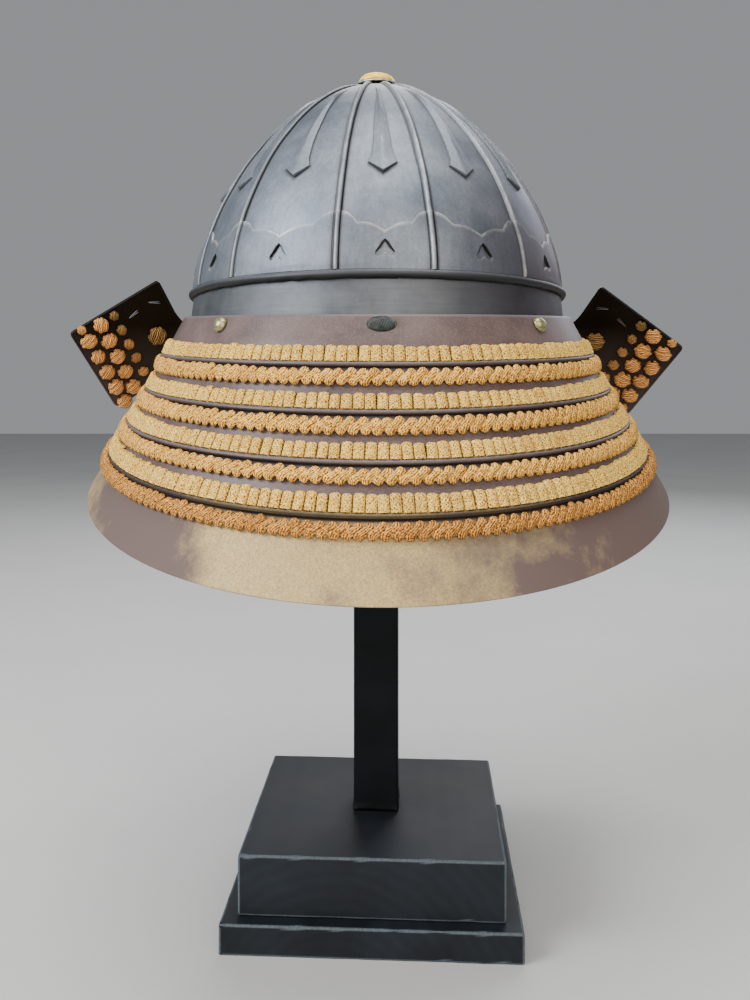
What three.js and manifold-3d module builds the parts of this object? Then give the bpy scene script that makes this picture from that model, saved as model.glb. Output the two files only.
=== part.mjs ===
// A ribbed iron samurai helmet (kabuto) with a five-lame laced neck guard, resting on a plain post stand.
// Millimetres, +Z up. The origin is the centre of the stand's underside. The wearer would face +Y,
// so the neck guard's broad back faces -Y. Angles t around the helmet start at the middle of the back.
import * as THREE from 'three';
import { mergeVertices } from 'three/addons/utils/BufferGeometryUtils.js';
import Module from 'manifold-3d';

const wasm = await Module();
wasm.setup();

// ---------------------------------------------------------------- driving sizes
const GAP = 0.3; // clearance between pieces that touch
const OVAL = 1.1; // every ring of the helmet is this much longer front to back than side to side
const SHEET = 1.8; // lacquered iron lames
const RING_STEP = 12; // degrees between the sections of every ring
const SIDE_ANGLE = 75; // where the lifts of the neck guard's rings are stated

const SLAB = { side: 157, height: 16 };
const BLOCK = { side: 140, top: 48 };
const POST = { side: 25.4, top: 436 };
const STAND_TURN = -3.4; // degrees: the helmet was set down slightly turned on its stand
const HEAD_PAD = { radius: 36, clearance: 0.6 };

const BOWL = { radius: 105.7, base: 350.3, rise: 121.5, roundness: 1.15, fullness: 1.28, wall: 2, mouth: 7 };
const BOWL_TILT = 0.0406; // the bowl sits a little nose down: drop per millimetre towards the front
// Where the bowl's fourteen plates meet. At the back they are as the smith left them; the others are even.
const SEAMS = { back: [-11, 14.8, 44.6], even: { from: 70.6, to: 295.7, plates: 9 }, last: [315.8, 349] };
const RIB = { width: 3.2, crest: 1.5, height: 1.7 };
const CLOUD = {
  thickness: 0.8, margin: 1, ribHeight: 28.9, cuspHeight: 22.9, middleHeight: 18.4, cuspPlace: 0.62,
};
const HEART = { width: 9.9, top: 14.5, bottom: 6 };
const BLADE = { edge: 0.8, ridge: 1.5, neckHeight: 104 };
const CROWN = {
  washer: 11.5, washerHeight: 1.2, stem: 5, stemHeight: 2.4, boss: 10.6, bossBase: 469.9, top: 475.2,
};

const GUARD_TOP = 328.2; // the first lame's upper edge at the middle of the back
const RIM = { height: 2.6, stand: 1, depth: 2.2 }; // the thickened upper edge of lames 2 to 5
const BEND = { start: 124, turn: 146, radius: 7.5 }; // the first lame's ends fold back to the turn-backs
const PEAK = { spread: 50, depth: 40, droop: 0.3, root: 109, top: 331, brow: 323 };
const RIVET = { radius: 4.1, height: 3.4, angle: 44.4, at: 323.1 };
const CORD_HOLE = { width: 14, height: 7.6, at: 323.7 };
const CORD_KNOT = { halfWidth: 6.4, halfDepth: 2.6, halfHeight: 3.3 };

// ---------------------------------------------------------------- finishes
const finish = (color, roughness, metalness) =>
  new THREE.MeshStandardMaterial({ color, roughness, metalness });
const russetIron = finish(0x555c68, 0.5, 0.7);
const bandIron = finish(0x4c545e, 0.55, 0.6);
const brownLacquer = finish(0x4b3c3e, 0.45, 0.1);
const goldLacquer = finish(0x7a6238, 0.6, 0.2);
const blackLacquer = finish(0x1d1512, 0.4, 0.1);
const hempCord = finish(0xc29a62, 0.9, 0);
const knotCord = finish(0xb07a42, 0.9, 0);
const greenCord = finish(0x2c3a33, 0.9, 0);
const gilt = finish(0xc8a84a, 0.35, 0.9);
const darkBrass = finish(0x6a6338, 0.45, 0.8);
const stainedWood = finish(0x1f262c, 0.6, 0);
const darkSteel = finish(0x14181c, 0.45, 0.6);

// ---------------------------------------------------------------- small tools
const kabuto = new THREE.Group();
const rad = THREE.MathUtils.degToRad;

function add(name, geometry, material) {
  const mesh = new THREE.Mesh(geometry, material);
  mesh.name = name;
  kabuto.add(mesh);
  return mesh;
}

// Turns a closed geometry into a solid; triangles that have shrunk to a line are left out.
function solid(geometry) {
  const bare = geometry.clone();
  bare.deleteAttribute('normal');
  bare.deleteAttribute('uv');
  const merged = mergeVertices(bare, 1e-4);
  const kept = [];
  for (let i = 0; i < merged.index.count; i += 3) {
    const [a, b, c] = [0, 1, 2].map((n) => merged.index.getX(i + n));
    if (a !== b && b !== c && c !== a) kept.push(a, b, c);
  }
  const vertProperties = new Float32Array(merged.attributes.position.array);
  return new wasm.Manifold(new wasm.Mesh({ numProp: 3, vertProperties, triVerts: new Uint32Array(kept) }));
}

function geometryOf(body) {
  const mesh = body.getMesh();
  const geometry = new THREE.BufferGeometry();
  geometry.setAttribute('position', new THREE.BufferAttribute(mesh.vertProperties, 3));
  geometry.setIndex(new THREE.BufferAttribute(mesh.triVerts, 1));
  return geometry;
}

// The signed volume tells whether a closed mesh's faces point out.
function facingOut(points, triangles) {
  let volume = 0;
  for (let i = 0; i < triangles.length; i += 3) {
    const [a, b, c] = [points[triangles[i]], points[triangles[i + 1]], points[triangles[i + 2]]];
    volume += a.dot(b.clone().cross(c));
  }
  return volume > 0 ? triangles : triangles.reverse();
}

// Skins a run of matching closed sections; a run that isn't a whole ring gets a flat cap at each end.
function loft(sections, { ring = false } = {}) {
  const size = sections[0].length;
  const points = sections.flat();
  const triangles = [];
  const spans = ring ? sections.length : sections.length - 1;
  for (let s = 0; s < spans; s += 1) {
    const here = s * size;
    const next = ((s + 1) % sections.length) * size;
    for (let i = 0; i < size; i += 1) {
      const j = (i + 1) % size;
      triangles.push(here + i, here + j, next + j, here + i, next + j, next + i);
    }
  }
  if (!ring) {
    triangles.push(...cap(sections[0]));
    triangles.push(...cap(sections.at(-1)).reverse().map((i) => points.length - size + i));
  }
  const geometry = new THREE.BufferGeometry().setFromPoints(points);
  geometry.setIndex(facingOut(points, triangles));
  return geometry;
}

// Triangles over one section, wound against the skin that starts from it.
function cap(section) {
  const centre = section.reduce((sum, p) => sum.add(p), new THREE.Vector3()).divideScalar(section.length);
  const normal = new THREE.Vector3();
  section.forEach((p, i) => {
    const q = section[(i + 1) % section.length];
    normal.add(p.clone().sub(centre).cross(q.clone().sub(centre)));
  });
  normal.normalize();
  const across = section[1].clone().sub(section[0]).projectOnPlane(normal).normalize();
  const up = normal.clone().cross(across);
  const flat = section.map((p) => {
    const arm = p.clone().sub(centre);
    return new THREE.Vector2(arm.dot(across), arm.dot(up));
  });
  return THREE.ShapeUtils.triangulateShape(flat, []).flatMap(([a, b, c]) => [a, c, b]);
}

const steps = (from, to, count) =>
  Array.from({ length: count + 1 }, (_, i) => from + ((to - from) * i) / count);

// Angles from -end to end that all fall on whole steps, apart from the two ends.
function sweepAngles(end, step = RING_STEP) {
  const whole = Math.ceil(end / step) - 1;
  return [-end, ...steps(-whole * step, whole * step, 2 * whole), end];
}

const onRing = (a, t, z) => new THREE.Vector3(a * Math.sin(rad(t)), -OVAL * a * Math.cos(rad(t)), z);
const tilted = (p) => p.setZ(p.z - BOWL_TILT * (p.y + OVAL * BOWL.radius));

// ---------------------------------------------------------------- stand
const centredBox = (side, bottom, top) =>
  new THREE.BoxGeometry(side, side, top - bottom).translate(0, 0, (top + bottom) / 2);

[
  ['stand_slab', centredBox(SLAB.side, 0, SLAB.height), stainedWood],
  ['stand_block', centredBox(BLOCK.side, SLAB.height + GAP, BLOCK.top), stainedWood],
  ['stand_post', centredBox(POST.side, BLOCK.top + GAP, POST.top), darkSteel],
].forEach(([name, box, material]) => {
  add(name, box, material).rotation.z = rad(STAND_TURN);
});

// ---------------------------------------------------------------- bowl
// A point on the bowl: row 0 is the rim and row 90 the crown; offset moves it off the outer face.
function onBowl(row, t, offset = 0) {
  const a = (BOWL.radius + offset) * Math.cos(rad(row)) ** BOWL.roundness;
  const z = BOWL.base + (BOWL.rise + offset) * Math.sin(rad(row)) ** BOWL.fullness;
  return tilted(onRing(a, t, z));
}
const ringAt = (row) => BOWL.radius * Math.cos(rad(row)) ** BOWL.roundness;
const rowAtHeight = (height) => (Math.asin((height / BOWL.rise) ** (1 / BOWL.fullness)) * 180) / Math.PI;
const MOUTH_ROW = (Math.acos((BOWL.mouth / BOWL.radius) ** (1 / BOWL.roundness)) * 180) / Math.PI;
const BOWL_ROWS = [0, 11, 24, 39, 55, 71, MOUTH_ROW];
const even = SEAMS.even;
const seams = [...SEAMS.back, ...steps(even.from, even.to, even.plates), ...SEAMS.last];
const plates = seams.slice(1).map((end, i) => ({ middle: (seams[i] + end) / 2, half: (end - seams[i]) / 2 }));
const BURIED = 0.4; // how far reliefs reach into the plate that carries them

const degreesOf = (length, row) => (length / ringAt(row)) * (180 / Math.PI);
// The middle of the part of a plate that its rib leaves free; the reliefs are set out from it.
const freeMiddle = (middle, row) => middle - degreesOf(RIB.width / 2, row);

// One section of a plate: its outer face, the raised rib along one edge, and its inner face.
function plateSection(row, { middle, half }) {
  const edge = half - degreesOf(GAP / 2, row);
  const shrink = Math.min(1, ringAt(row) / 24); // ribs narrow where they crowd together at the crown
  const foot = edge - degreesOf(RIB.width * shrink, row);
  const slope = degreesOf(((RIB.width - RIB.crest) / 2) * shrink, row);
  const height = RIB.height * Math.max(0.45, shrink);
  const outer = steps(-edge, foot, 3).map((t) => onBowl(row, middle + t));
  const crest = [foot + slope, edge - slope].map((t) => onBowl(row, middle + t, height));
  const inner = steps(edge, -edge, 2).map((t) => onBowl(row, middle + t, -BOWL.wall));
  return [...outer, ...crest, onBowl(row, middle + edge), ...inner];
}

// The long sword-tip relief that hangs from the crown down the middle of each plate.
const BLADE_ROWS = [
  { height: BLADE.neckHeight, half: 0.8 },
  { height: 84, half: 3.1 },
  { height: 62, half: 5 },
  { height: 55.8, half: 7.2 },
  { height: 50.2, half: 0.2 },
];
function bladeRelief(middle) {
  return loft(
    BLADE_ROWS.map(({ height, half }) => {
      const row = rowAtHeight(height);
      const reach = degreesOf(half, row);
      const centre = freeMiddle(middle, row);
      return [
        onBowl(row, centre - reach, BLADE.edge),
        onBowl(row, centre, BLADE.ridge),
        onBowl(row, centre + reach, BLADE.edge),
        onBowl(row, centre, -BURIED),
      ];
    }),
  );
}

// The top edge of the cloud-shaped sheet along a plate's foot: two bulging lobes on each side of the middle.
function cloudEdge(place) {
  const x = Math.abs(place);
  const lobe = (from, to, part) => from + (to - from) * part + 1.6 * Math.sin(Math.PI * part);
  if (x < CLOUD.cuspPlace) return lobe(CLOUD.middleHeight, CLOUD.cuspHeight, x / CLOUD.cuspPlace);
  return lobe(CLOUD.cuspHeight, CLOUD.ribHeight, (x - CLOUD.cuspPlace) / (1 - CLOUD.cuspPlace));
}
function cloudSheet({ middle, half }) {
  const places = [-1, -CLOUD.cuspPlace, -CLOUD.cuspPlace / 2, 0];
  const across = [...places, ...places.slice(0, -1).reverse().map((p) => -p)];
  return loft(
    across.map((place) => {
      const top = rowAtHeight(cloudEdge(place));
      const rows = [0, BOWL_ROWS[1], top];
      const reach = (row) => half - degreesOf(RIB.width / 2 + CLOUD.margin, row);
      const at = (row, offset) => onBowl(row, freeMiddle(middle, row) + place * reach(row), offset);
      return [...rows.map((row) => at(row, CLOUD.thickness)), at(top, -BURIED), at(0, -BURIED)];
    }),
  );
}

// An upside-down heart, cut through the cloud sheet only. Its point is up.
function heartCutter(middle) {
  const shape = [
    { x: 0, y: 1 },
    { x: 1, y: 0.3 },
    { x: 0.55, y: 0 },
    { x: 0, y: 0.2 },
  ];
  const outline = [...shape, ...shape.slice(1, -1).reverse().map(({ x, y }) => ({ x: -x, y }))];
  const layer = (offset) =>
    outline.map(({ x, y }) => {
      const row = rowAtHeight(HEART.bottom + (HEART.top - HEART.bottom) * y);
      return onBowl(row, freeMiddle(middle, row) + degreesOf((x * HEART.width) / 2, row), offset);
    });
  return loft([layer(-BOWL.wall), layer(BOWL.wall)]);
}

plates.forEach((span, i) => {
  const shell = solid(loft(BOWL_ROWS.map((row) => plateSection(row, span))));
  const cloud = solid(cloudSheet(span)).subtract(solid(heartCutter(span.middle)));
  const plate = shell.add(cloud).add(solid(bladeRelief(span.middle)));
  add(`bowl_plate_${String(i + 1).padStart(2, '0')}`, geometryOf(plate), russetIron);
});

// A shaped wooden pad on the post, which the crown of the bowl rests on.
const padRing = (row) => plates.map(({ middle }) => onBowl(row, middle, -BOWL.wall - HEAD_PAD.clearance));
const padFoot = plates.map(({ middle }) => onRing(HEAD_PAD.radius, middle, POST.top + GAP));
add('stand_head', loft([padFoot, ...BOWL_ROWS.slice(-3).map(padRing)]), stainedWood);

// The crown fitting: a thin washer with a short stem in the bowl's mouth, and a low gilt boss on it.
const lathe = (profile, sides) =>
  new THREE.LatheGeometry(profile.map(([r, z]) => new THREE.Vector2(r, z)), sides).rotateX(Math.PI / 2);
const WASHER_TOP = CROWN.bossBase - GAP;
const WASHER_FOOT = WASHER_TOP - CROWN.washerHeight;
add('crown_washer', geometryOf(solid(lathe([
  [0, WASHER_FOOT - CROWN.stemHeight],
  [CROWN.stem, WASHER_FOOT - CROWN.stemHeight],
  [CROWN.stem, WASHER_FOOT],
  [CROWN.washer, WASHER_FOOT],
  [CROWN.washer, WASHER_TOP],
  [0, WASHER_TOP],
], 12))), bandIron);
const bossRise = CROWN.top - CROWN.bossBase;
add('crown_boss', geometryOf(solid(lathe([
  [0, CROWN.bossBase],
  [CROWN.boss - 0.6, CROWN.bossBase],
  ...[10, 32, 52, 72].map((e) => [
    CROWN.boss * Math.cos(rad(e)),
    CROWN.bossBase + bossRise * Math.sin(rad(e)),
  ]),
  [0, CROWN.top],
], 14))), gilt);

// ---------------------------------------------------------------- rim bead and band under the bowl
const WHOLE_RING = steps(0, 360 - RING_STEP, 360 / RING_STEP - 1);
const BEAD = [
  [103.6, 345.8],
  [107.2, 345.8],
  [108.5, 348],
  [107, 350],
  [103.6, 350],
];
const beadSections = WHOLE_RING.map((t) => BEAD.map(([a, z]) => tilted(onRing(a, t, z))));
add('rim_bead', loft(beadSections, { ring: true }), russetIron);

const bandTop = (a, t) => tilted(onRing(a, t, BEAD[0][1] - GAP));
add('waist_band', loft(WHOLE_RING.map((t) => [
  bandTop(105.6, t),
  onRing(108.6, t, 318),
  onRing(106.6, t, 318),
  bandTop(103.6, t),
]), { ring: true }), bandIron);

// ---------------------------------------------------------------- neck guard
// Each ring of the guard rises towards the sides and front, the lower ones more.
const lift = (z) => {
  const down = GUARD_TOP - z;
  return 2.8 + 0.07 * down + 0.001 * down * down;
};
const rise = (t) => (1 - Math.cos(rad(t))) / (1 - Math.cos(rad(SIDE_ANGLE)));
const onGuard = ([a, z], t) => onRing(a, t, z + lift(z) * rise(t));

// The outer face of each lame from top to bottom: [half width, height at the middle of the back].
// Lames 2 to 5 start under their rim; rim is where that thickened edge stands out furthest. The last
// one's sheet thickens inwards to its hem.
const LAMES = [
  { end: BEND.start, face: [[110.9, 328.2], [117.8, 314], [120.6, 305.5], [121.2, 300.5]] },
  { end: 119, rim: [124.2, 304.7], face: [[123.2, 303], [124.2, 296.6], [129.6, 285.6], [130.3, 278.5]] },
  { end: 115, rim: [133, 283.2], face: [[132, 281.4], [133.6, 275.2], [139.4, 264.4], [140.3, 257]] },
  { end: 111, rim: [143, 261.6], face: [[142, 259.8], [143.8, 254.2], [149.1, 242.6], [150, 235]] },
  { end: 107, hem: 3.2, rim: [152.7, 239.7], face: [[151.8, 237.8], [153.4, 231.6], [163.1, 204.3]] },
];

function lameSection({ rim, face, hem = SHEET }) {
  const inner = [...face].reverse().map(([a, z], i) => [a - (i === 0 ? hem : SHEET), z]);
  if (!rim) return [...face, ...inner];
  const [a, z] = rim;
  const top = z + RIM.height / 2;
  return [[a - RIM.depth, top], [a - RIM.stand / 2, top], [a, z], ...face, ...inner];
}

// The half width of a lame's outer face at a height.
function faceAt({ face }, z) {
  const below = face.findIndex(([, height]) => height <= z);
  const [a0, z0] = face[below - 1];
  const [a1, z1] = face[below];
  return a0 + ((a1 - a0) * (z0 - z)) / (z0 - z1);
}

// The inner side of a cord row, from bottom to top, following the face that it lies on.
function footing(lame, bottom, top) {
  const bends = lame.face.map(([, z]) => z).filter((z) => z > bottom && z < top);
  return [bottom, ...bends.reverse(), top].map((z) => [faceAt(lame, z) + GAP, z]);
}

const guardStrip = (section, end) => loft(sweepAngles(end).map((t) => section.map((p) => onGuard(p, t))));

// The first lame has an oval cord hole in the middle of the back.
const holeAt = onGuard([faceAt(LAMES[0], CORD_HOLE.at), CORD_HOLE.at], 0);
const holeCutter = new THREE.CylinderGeometry(0.5, 0.5, 12, 16)
  .scale(CORD_HOLE.width, 1, CORD_HOLE.height)
  .translate(holeAt.x, holeAt.y, holeAt.z);
const firstLame = solid(guardStrip(lameSection(LAMES[0]), LAMES[0].end)).subtract(solid(holeCutter));
add('lame_1', geometryOf(firstLame), brownLacquer);
LAMES.slice(1).forEach((lame, i) => {
  add(`lame_${i + 2}`, guardStrip(lameSection(lame), lame.end), i === 3 ? goldLacquer : brownLacquer);
});

// Upright lacing over each lame's lower half, stopping above the next lame's rim.
const LACING = [
  { lame: 0, top: 313.7, bottom: 306.4 },
  { lame: 1, top: 292, bottom: 284.9 },
  { lame: 2, top: 270.7, bottom: 263.3 },
  { lame: 3, top: 249.5, bottom: 241.4 },
];
LACING.forEach(({ lame, top, bottom }, i) => {
  const stand = (z, height) => [faceAt(LAMES[lame], z) + height, z];
  const upper = top - (top - bottom) / 5;
  const section = [...footing(LAMES[lame], bottom, top), stand(upper, 3.1), stand(bottom, 2.9)];
  add(`lacing_row_${i + 1}`, guardStrip(section, LAMES[lame + 1].end - 1), hempCord);
});

// A rope-like row of cord just under the rim of lames 2 to 5.
const ROPES = [
  { lame: 1, top: 302.9, bottom: 295 },
  { lame: 2, top: 281.2, bottom: 273.1 },
  { lame: 3, top: 259.6, bottom: 252.2 },
  { lame: 4, top: 237.6, bottom: 229.8 },
];
const ROPE_HEIGHT = 3.5; // off the lame's face
ROPES.forEach(({ lame, top, bottom }, i) => {
  const crown = (z) => [faceAt(LAMES[lame], z) + ROPE_HEIGHT, z];
  const quarter = (top - bottom) / 4;
  const section = [...footing(LAMES[lame], bottom, top), crown(top - quarter), crown(bottom + quarter)];
  add(`rope_row_${i + 1}`, guardStrip(section, LAMES[lame].end - 1), hempCord);
});

// Domed rivets through the first lame, one each side of the back.
const RIVET_SIDES = 10;
const [faceTop, faceBelow] = LAMES[0].face;
const rivetSlope = Math.atan2(faceBelow[0] - faceTop[0], faceTop[1] - faceBelow[1]);
[-1, 1].forEach((side) => {
  const t = side * RIVET.angle;
  const foot = onGuard([faceAt(LAMES[0], RIVET.at), RIVET.at], t);
  const outward = new THREE.Vector3(Math.sin(rad(t)) * OVAL, -Math.cos(rad(t)), 0).normalize();
  outward.multiplyScalar(Math.cos(rivetSlope)).setZ(Math.sin(rivetSlope));
  const dome = new THREE.LatheGeometry([
    new THREE.Vector2(0, 0),
    new THREE.Vector2(RIVET.radius, 0),
    new THREE.Vector2(RIVET.radius * Math.SQRT1_2, RIVET.height * Math.SQRT1_2),
    new THREE.Vector2(0, RIVET.height),
  ], RIVET_SIDES);
  const rivet = add(side < 0 ? 'rivet_left' : 'rivet_right', geometryOf(solid(dome)), darkBrass);
  rivet.quaternion.setFromUnitVectors(new THREE.Vector3(0, 1, 0), outward);
  rivet.position.copy(foot).addScaledVector(outward, 2 * GAP);
});

// The green cord that fills the oval hole.
const cordKnot = new THREE.SphereGeometry(1, 10, 4)
  .scale(CORD_KNOT.halfWidth, CORD_KNOT.halfDepth, CORD_KNOT.halfHeight)
  .translate(holeAt.x, holeAt.y, holeAt.z);
add('centre_cord', geometryOf(solid(cordKnot)), greenCord);

// ---------------------------------------------------------------- turn-backs
// The two plates are worked out on the +X side, and the left one is mirrored to the other. Each was bent
// by hand: roll turns a plate about its fold's middle, in its own plane, and slide moves it out along the
// sheet.
const TURN_BACKS = [
  { name: 'right', roll: -2.8, slide: 2.5 },
  { name: 'left', roll: 3.3, slide: 0 },
];
const bendTop = onGuard(LAMES[0].face[0], BEND.start);
const bendFoot = onGuard(LAMES[0].face.at(-1), BEND.start);
const bendUp = bendTop.clone().sub(bendFoot).normalize();
const bendHalf = bendTop.distanceTo(bendFoot) / 2;
const forward = new THREE.Vector3(Math.cos(rad(BEND.start)), OVAL * Math.sin(rad(BEND.start)), 0);
forward.projectOnPlane(bendUp).normalize();
const outward = forward.clone().cross(bendUp);
const bendStart = bendTop.clone().add(bendFoot).multiplyScalar(0.5);
bendStart.addScaledVector(outward, -SHEET / 2).addScaledVector(forward, GAP);

// Direction of travel, and the way the plate's rear face looks, after turning by an angle.
const heading = (angle) =>
  forward.clone().multiplyScalar(Math.cos(rad(angle))).addScaledVector(outward, Math.sin(rad(angle)));
const facing = (angle) =>
  outward.clone().multiplyScalar(Math.cos(rad(angle))).addScaledVector(forward, -Math.sin(rad(angle)));
const onBend = (angle) =>
  bendStart.clone().addScaledVector(outward, BEND.radius).addScaledVector(facing(angle), -BEND.radius);

const wingFacing = facing(BEND.turn);
const wingFrame = ({ roll, slide }) => {
  const along = heading(BEND.turn).applyAxisAngle(wingFacing, rad(roll));
  const up = bendUp.clone().applyAxisAngle(wingFacing, rad(roll));
  return { along, up, root: onBend(BEND.turn).addScaledVector(along, slide) };
};

// Corners of the plate, as distances along the sheet from the bend and up it.
const WING = {
  neckBend: new THREE.Vector2(13, -13),
  neck: new THREE.Vector2(32, 2.4),
  innerTop: new THREE.Vector2(49.8, 19.3),
  outerTop: new THREE.Vector2(90.6, -31.8),
  lower: new THREE.Vector2(44.6, -72.8),
  roundUpper: 3,
  roundLower: 5,
};

// The sheet starts a little inside its fold, by more where it has been slid out.
function wingOutline(slide) {
  const { neckBend, neck, innerTop, outerTop, lower } = WING;
  const shape = new THREE.Shape();
  const toward = (from, to, length) => from.clone().add(to.clone().sub(from).setLength(length));
  const corner = (before, at, after, radius) => {
    const a = toward(at, before, radius);
    const b = toward(at, after, radius);
    shape.lineTo(a.x, a.y);
    shape.quadraticCurveTo(at.x, at.y, b.x, b.y);
  };
  const rootTop = new THREE.Vector2(-0.5 - slide, bendHalf);
  const rootFoot = new THREE.Vector2(-0.5 - slide, -bendHalf);
  shape.moveTo(rootTop.x, rootTop.y);
  shape.lineTo(1, bendHalf);
  shape.quadraticCurveTo(neckBend.x, neckBend.y, neck.x, neck.y);
  corner(neck, innerTop, outerTop, WING.roundUpper);
  corner(innerTop, outerTop, lower, WING.roundUpper);
  corner(outerTop, lower, rootFoot, WING.roundLower);
  shape.lineTo(1, -bendHalf);
  shape.lineTo(rootFoot.x, rootFoot.y);
  return shape;
}

function turnBack({ along, up, root }, slide) {
  const strip = loft(
    steps(0, BEND.turn, 6).map((angle) => {
      const middle = onBend(angle);
      const across = facing(angle);
      return [[1, 1], [1, -1], [-1, -1], [-1, 1]].map(([rise, out]) =>
        middle.clone().addScaledVector(bendUp, rise * bendHalf).addScaledVector(across, (out * SHEET) / 2));
    }),
  );
  const drawn = { depth: SHEET, bevelEnabled: false, curveSegments: 4 };
  const sheet = new THREE.ExtrudeGeometry(wingOutline(slide), drawn);
  sheet.translate(0, 0, -SHEET / 2);
  const basis = new THREE.Matrix4().makeBasis(along, up, along.clone().cross(up));
  sheet.applyMatrix4(basis.setPosition(root));
  return solid(strip).add(solid(sheet));
}

// Cross-knots on the rear face, in columns beside the outer edge. Inset is from that edge, and first is
// the distance down from the top one.
const KNOT_COLUMNS = [
  { name: 'outer', insetTop: 7.5, insetFoot: 4, first: 10.8, pitch: 12.2, count: 5, radius: 5.4 },
  { name: 'middle', insetTop: 19.5, insetFoot: 14, first: 5.6, pitch: 12, count: 5, radius: 5.4 },
  { name: 'inner', insetTop: 29.5, insetFoot: 25, first: 5, pitch: 10.8, count: 5, radius: 3.8 },
];
const BIG_KNOT = { inset: 45.3, down: 31.9, radius: 6.2, height: 1.3 };
const OVERLAP = 0.9; // how far a lump reaches past the middle between two
const TIP_TURN = rad(58.3); // brings two opposite corners of the lump onto the column's line

const edgeOut = WING.outerTop.clone().sub(WING.innerTop).normalize();
const edgeDown = new THREE.Vector2(edgeOut.y, -edgeOut.x);
function onWing({ along, up, root }, inset, down, height) {
  const flat = WING.outerTop.clone().addScaledVector(edgeOut, -inset).addScaledVector(edgeDown, down);
  return root.clone()
    .addScaledVector(along, flat.x)
    .addScaledVector(up, flat.y)
    .addScaledVector(wingFacing, SHEET / 2 + GAP + height);
}

// One lump of cord: half as long as reach along the column, and lying on the plate.
function knotLump(centre, along, reach, radius, height) {
  const lump = new THREE.IcosahedronGeometry(1, 0).rotateZ(TIP_TURN).scale(reach, radius, height);
  const basis = new THREE.Matrix4().makeBasis(along, wingFacing.clone().cross(along), wingFacing);
  return solid(lump.applyMatrix4(basis.setPosition(centre)));
}

// The lumps of a column just run into each other.
function knotColumn(frame, { insetTop, insetFoot, first, pitch, count, radius }) {
  const height = radius * 0.45;
  const places = steps(0, 1, count - 1).map((part) => {
    const inset = insetTop + (insetFoot - insetTop) * part;
    return onWing(frame, inset, first + pitch * (count - 1) * part, height);
  });
  const along = places.at(-1).clone().sub(places[0]).normalize();
  const lumps = places.map((centre) => knotLump(centre, along, pitch / 2 + OVERLAP, radius, height));
  return lumps.reduce((body, lump) => body.add(lump));
}

function mirrored(geometry) {
  const copy = geometry.clone().scale(-1, 1, 1);
  copy.setIndex(new THREE.BufferAttribute(Uint32Array.from(copy.index.array).reverse(), 1));
  return copy;
}

TURN_BACKS.forEach(({ name, roll, slide }) => {
  const frame = wingFrame({ roll, slide });
  const place = (piece, body, material) => {
    const geometry = geometryOf(body);
    add(`${piece}_${name}`, name === 'left' ? mirrored(geometry) : geometry, material);
  };
  place('turn_back', turnBack(frame, slide), blackLacquer);
  KNOT_COLUMNS.forEach((column) => place(`knots_${column.name}`, knotColumn(frame, column), knotCord));
  const { inset, down, radius, height } = BIG_KNOT;
  const middle = onWing(frame, inset, down, height);
  place('big_knot', knotLump(middle, frame.along, radius, radius, height), knotCord);
});

// ---------------------------------------------------------------- peak over the brow
add('peak', loft(steps(180 - PEAK.spread, 180 + PEAK.spread, 10).map((t) => {
  const reach = 3 + PEAK.depth * Math.cos(rad(((t - 180) / PEAK.spread) * 90)) ** 0.8;
  const drop = reach * PEAK.droop;
  const out = PEAK.root + SHEET;
  return [
    onRing(PEAK.root, t, PEAK.top),
    onRing(out, t, PEAK.top),
    onRing(out, t, PEAK.brow + SHEET),
    onRing(out + reach, t, PEAK.brow + SHEET - drop),
    onRing(out + reach, t, PEAK.brow - drop),
    onRing(PEAK.root, t, PEAK.brow - SHEET / 2),
  ];
})), brownLacquer);

export default kabuto;
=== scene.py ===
import math
from functools import partial
import bmesh
import bpy
import numpy as np
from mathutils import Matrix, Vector, noise


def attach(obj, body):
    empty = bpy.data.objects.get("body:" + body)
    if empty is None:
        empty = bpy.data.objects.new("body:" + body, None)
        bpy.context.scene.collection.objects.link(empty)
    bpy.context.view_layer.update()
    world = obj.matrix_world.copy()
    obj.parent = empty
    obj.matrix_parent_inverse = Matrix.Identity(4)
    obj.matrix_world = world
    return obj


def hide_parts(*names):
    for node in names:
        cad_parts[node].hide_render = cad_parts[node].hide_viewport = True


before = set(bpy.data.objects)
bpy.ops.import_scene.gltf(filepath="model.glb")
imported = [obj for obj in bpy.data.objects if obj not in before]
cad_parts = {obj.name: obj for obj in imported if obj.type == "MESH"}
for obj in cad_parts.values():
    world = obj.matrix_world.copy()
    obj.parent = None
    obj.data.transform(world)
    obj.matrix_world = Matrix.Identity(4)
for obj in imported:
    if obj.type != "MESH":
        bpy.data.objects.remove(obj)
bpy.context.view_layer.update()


# --- Camera -------------------------------------------------------------------------------------------
# A level camera stands behind the helmet, 0.61 m from its middle and a little left of it, at the height
# of the first lame. It looks along +Y and is shifted down, so that uprights stay upright.
def add_object(name, data):
    """Puts a mesh, camera or light in the scene as an object."""
    made = bpy.data.objects.new(name, data)
    bpy.context.scene.collection.objects.link(made)
    return made


camera_data = bpy.data.cameras.new("camera")
camera_data.lens = 37.44
camera_data.shift_x = 0.018
camera_data.shift_y = -0.135
camera = add_object("camera", camera_data)
camera.location = (-0.0115, -0.61, 0.3045)
camera.rotation_euler = (math.radians(90), 0, 0)
bpy.context.scene.camera = camera


# --- Studio: floor and soft light ----------------------------------------------------------------------
# A pale grey paper floor runs far behind the stand. One soft box stands high on the left and a wide one
# behind the camera; weaker ones hang above, on the right and in front, and a pale room lights the rest.
TINT = {"data_type": "RGBA"}
SHADE = {"data_type": "RGBA", "blend_type": "MULTIPLY"}


def linear(colour):
    """An sRGB hex colour such as "8a8f96" as linear RGBA."""
    channels = [int(colour[i:i + 2], 16) / 255 for i in (0, 2, 4)]
    return (*[c / 12.92 if c <= 0.04045 else ((c + 0.055) / 1.055) ** 2.4 for c in channels], 1)


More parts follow.
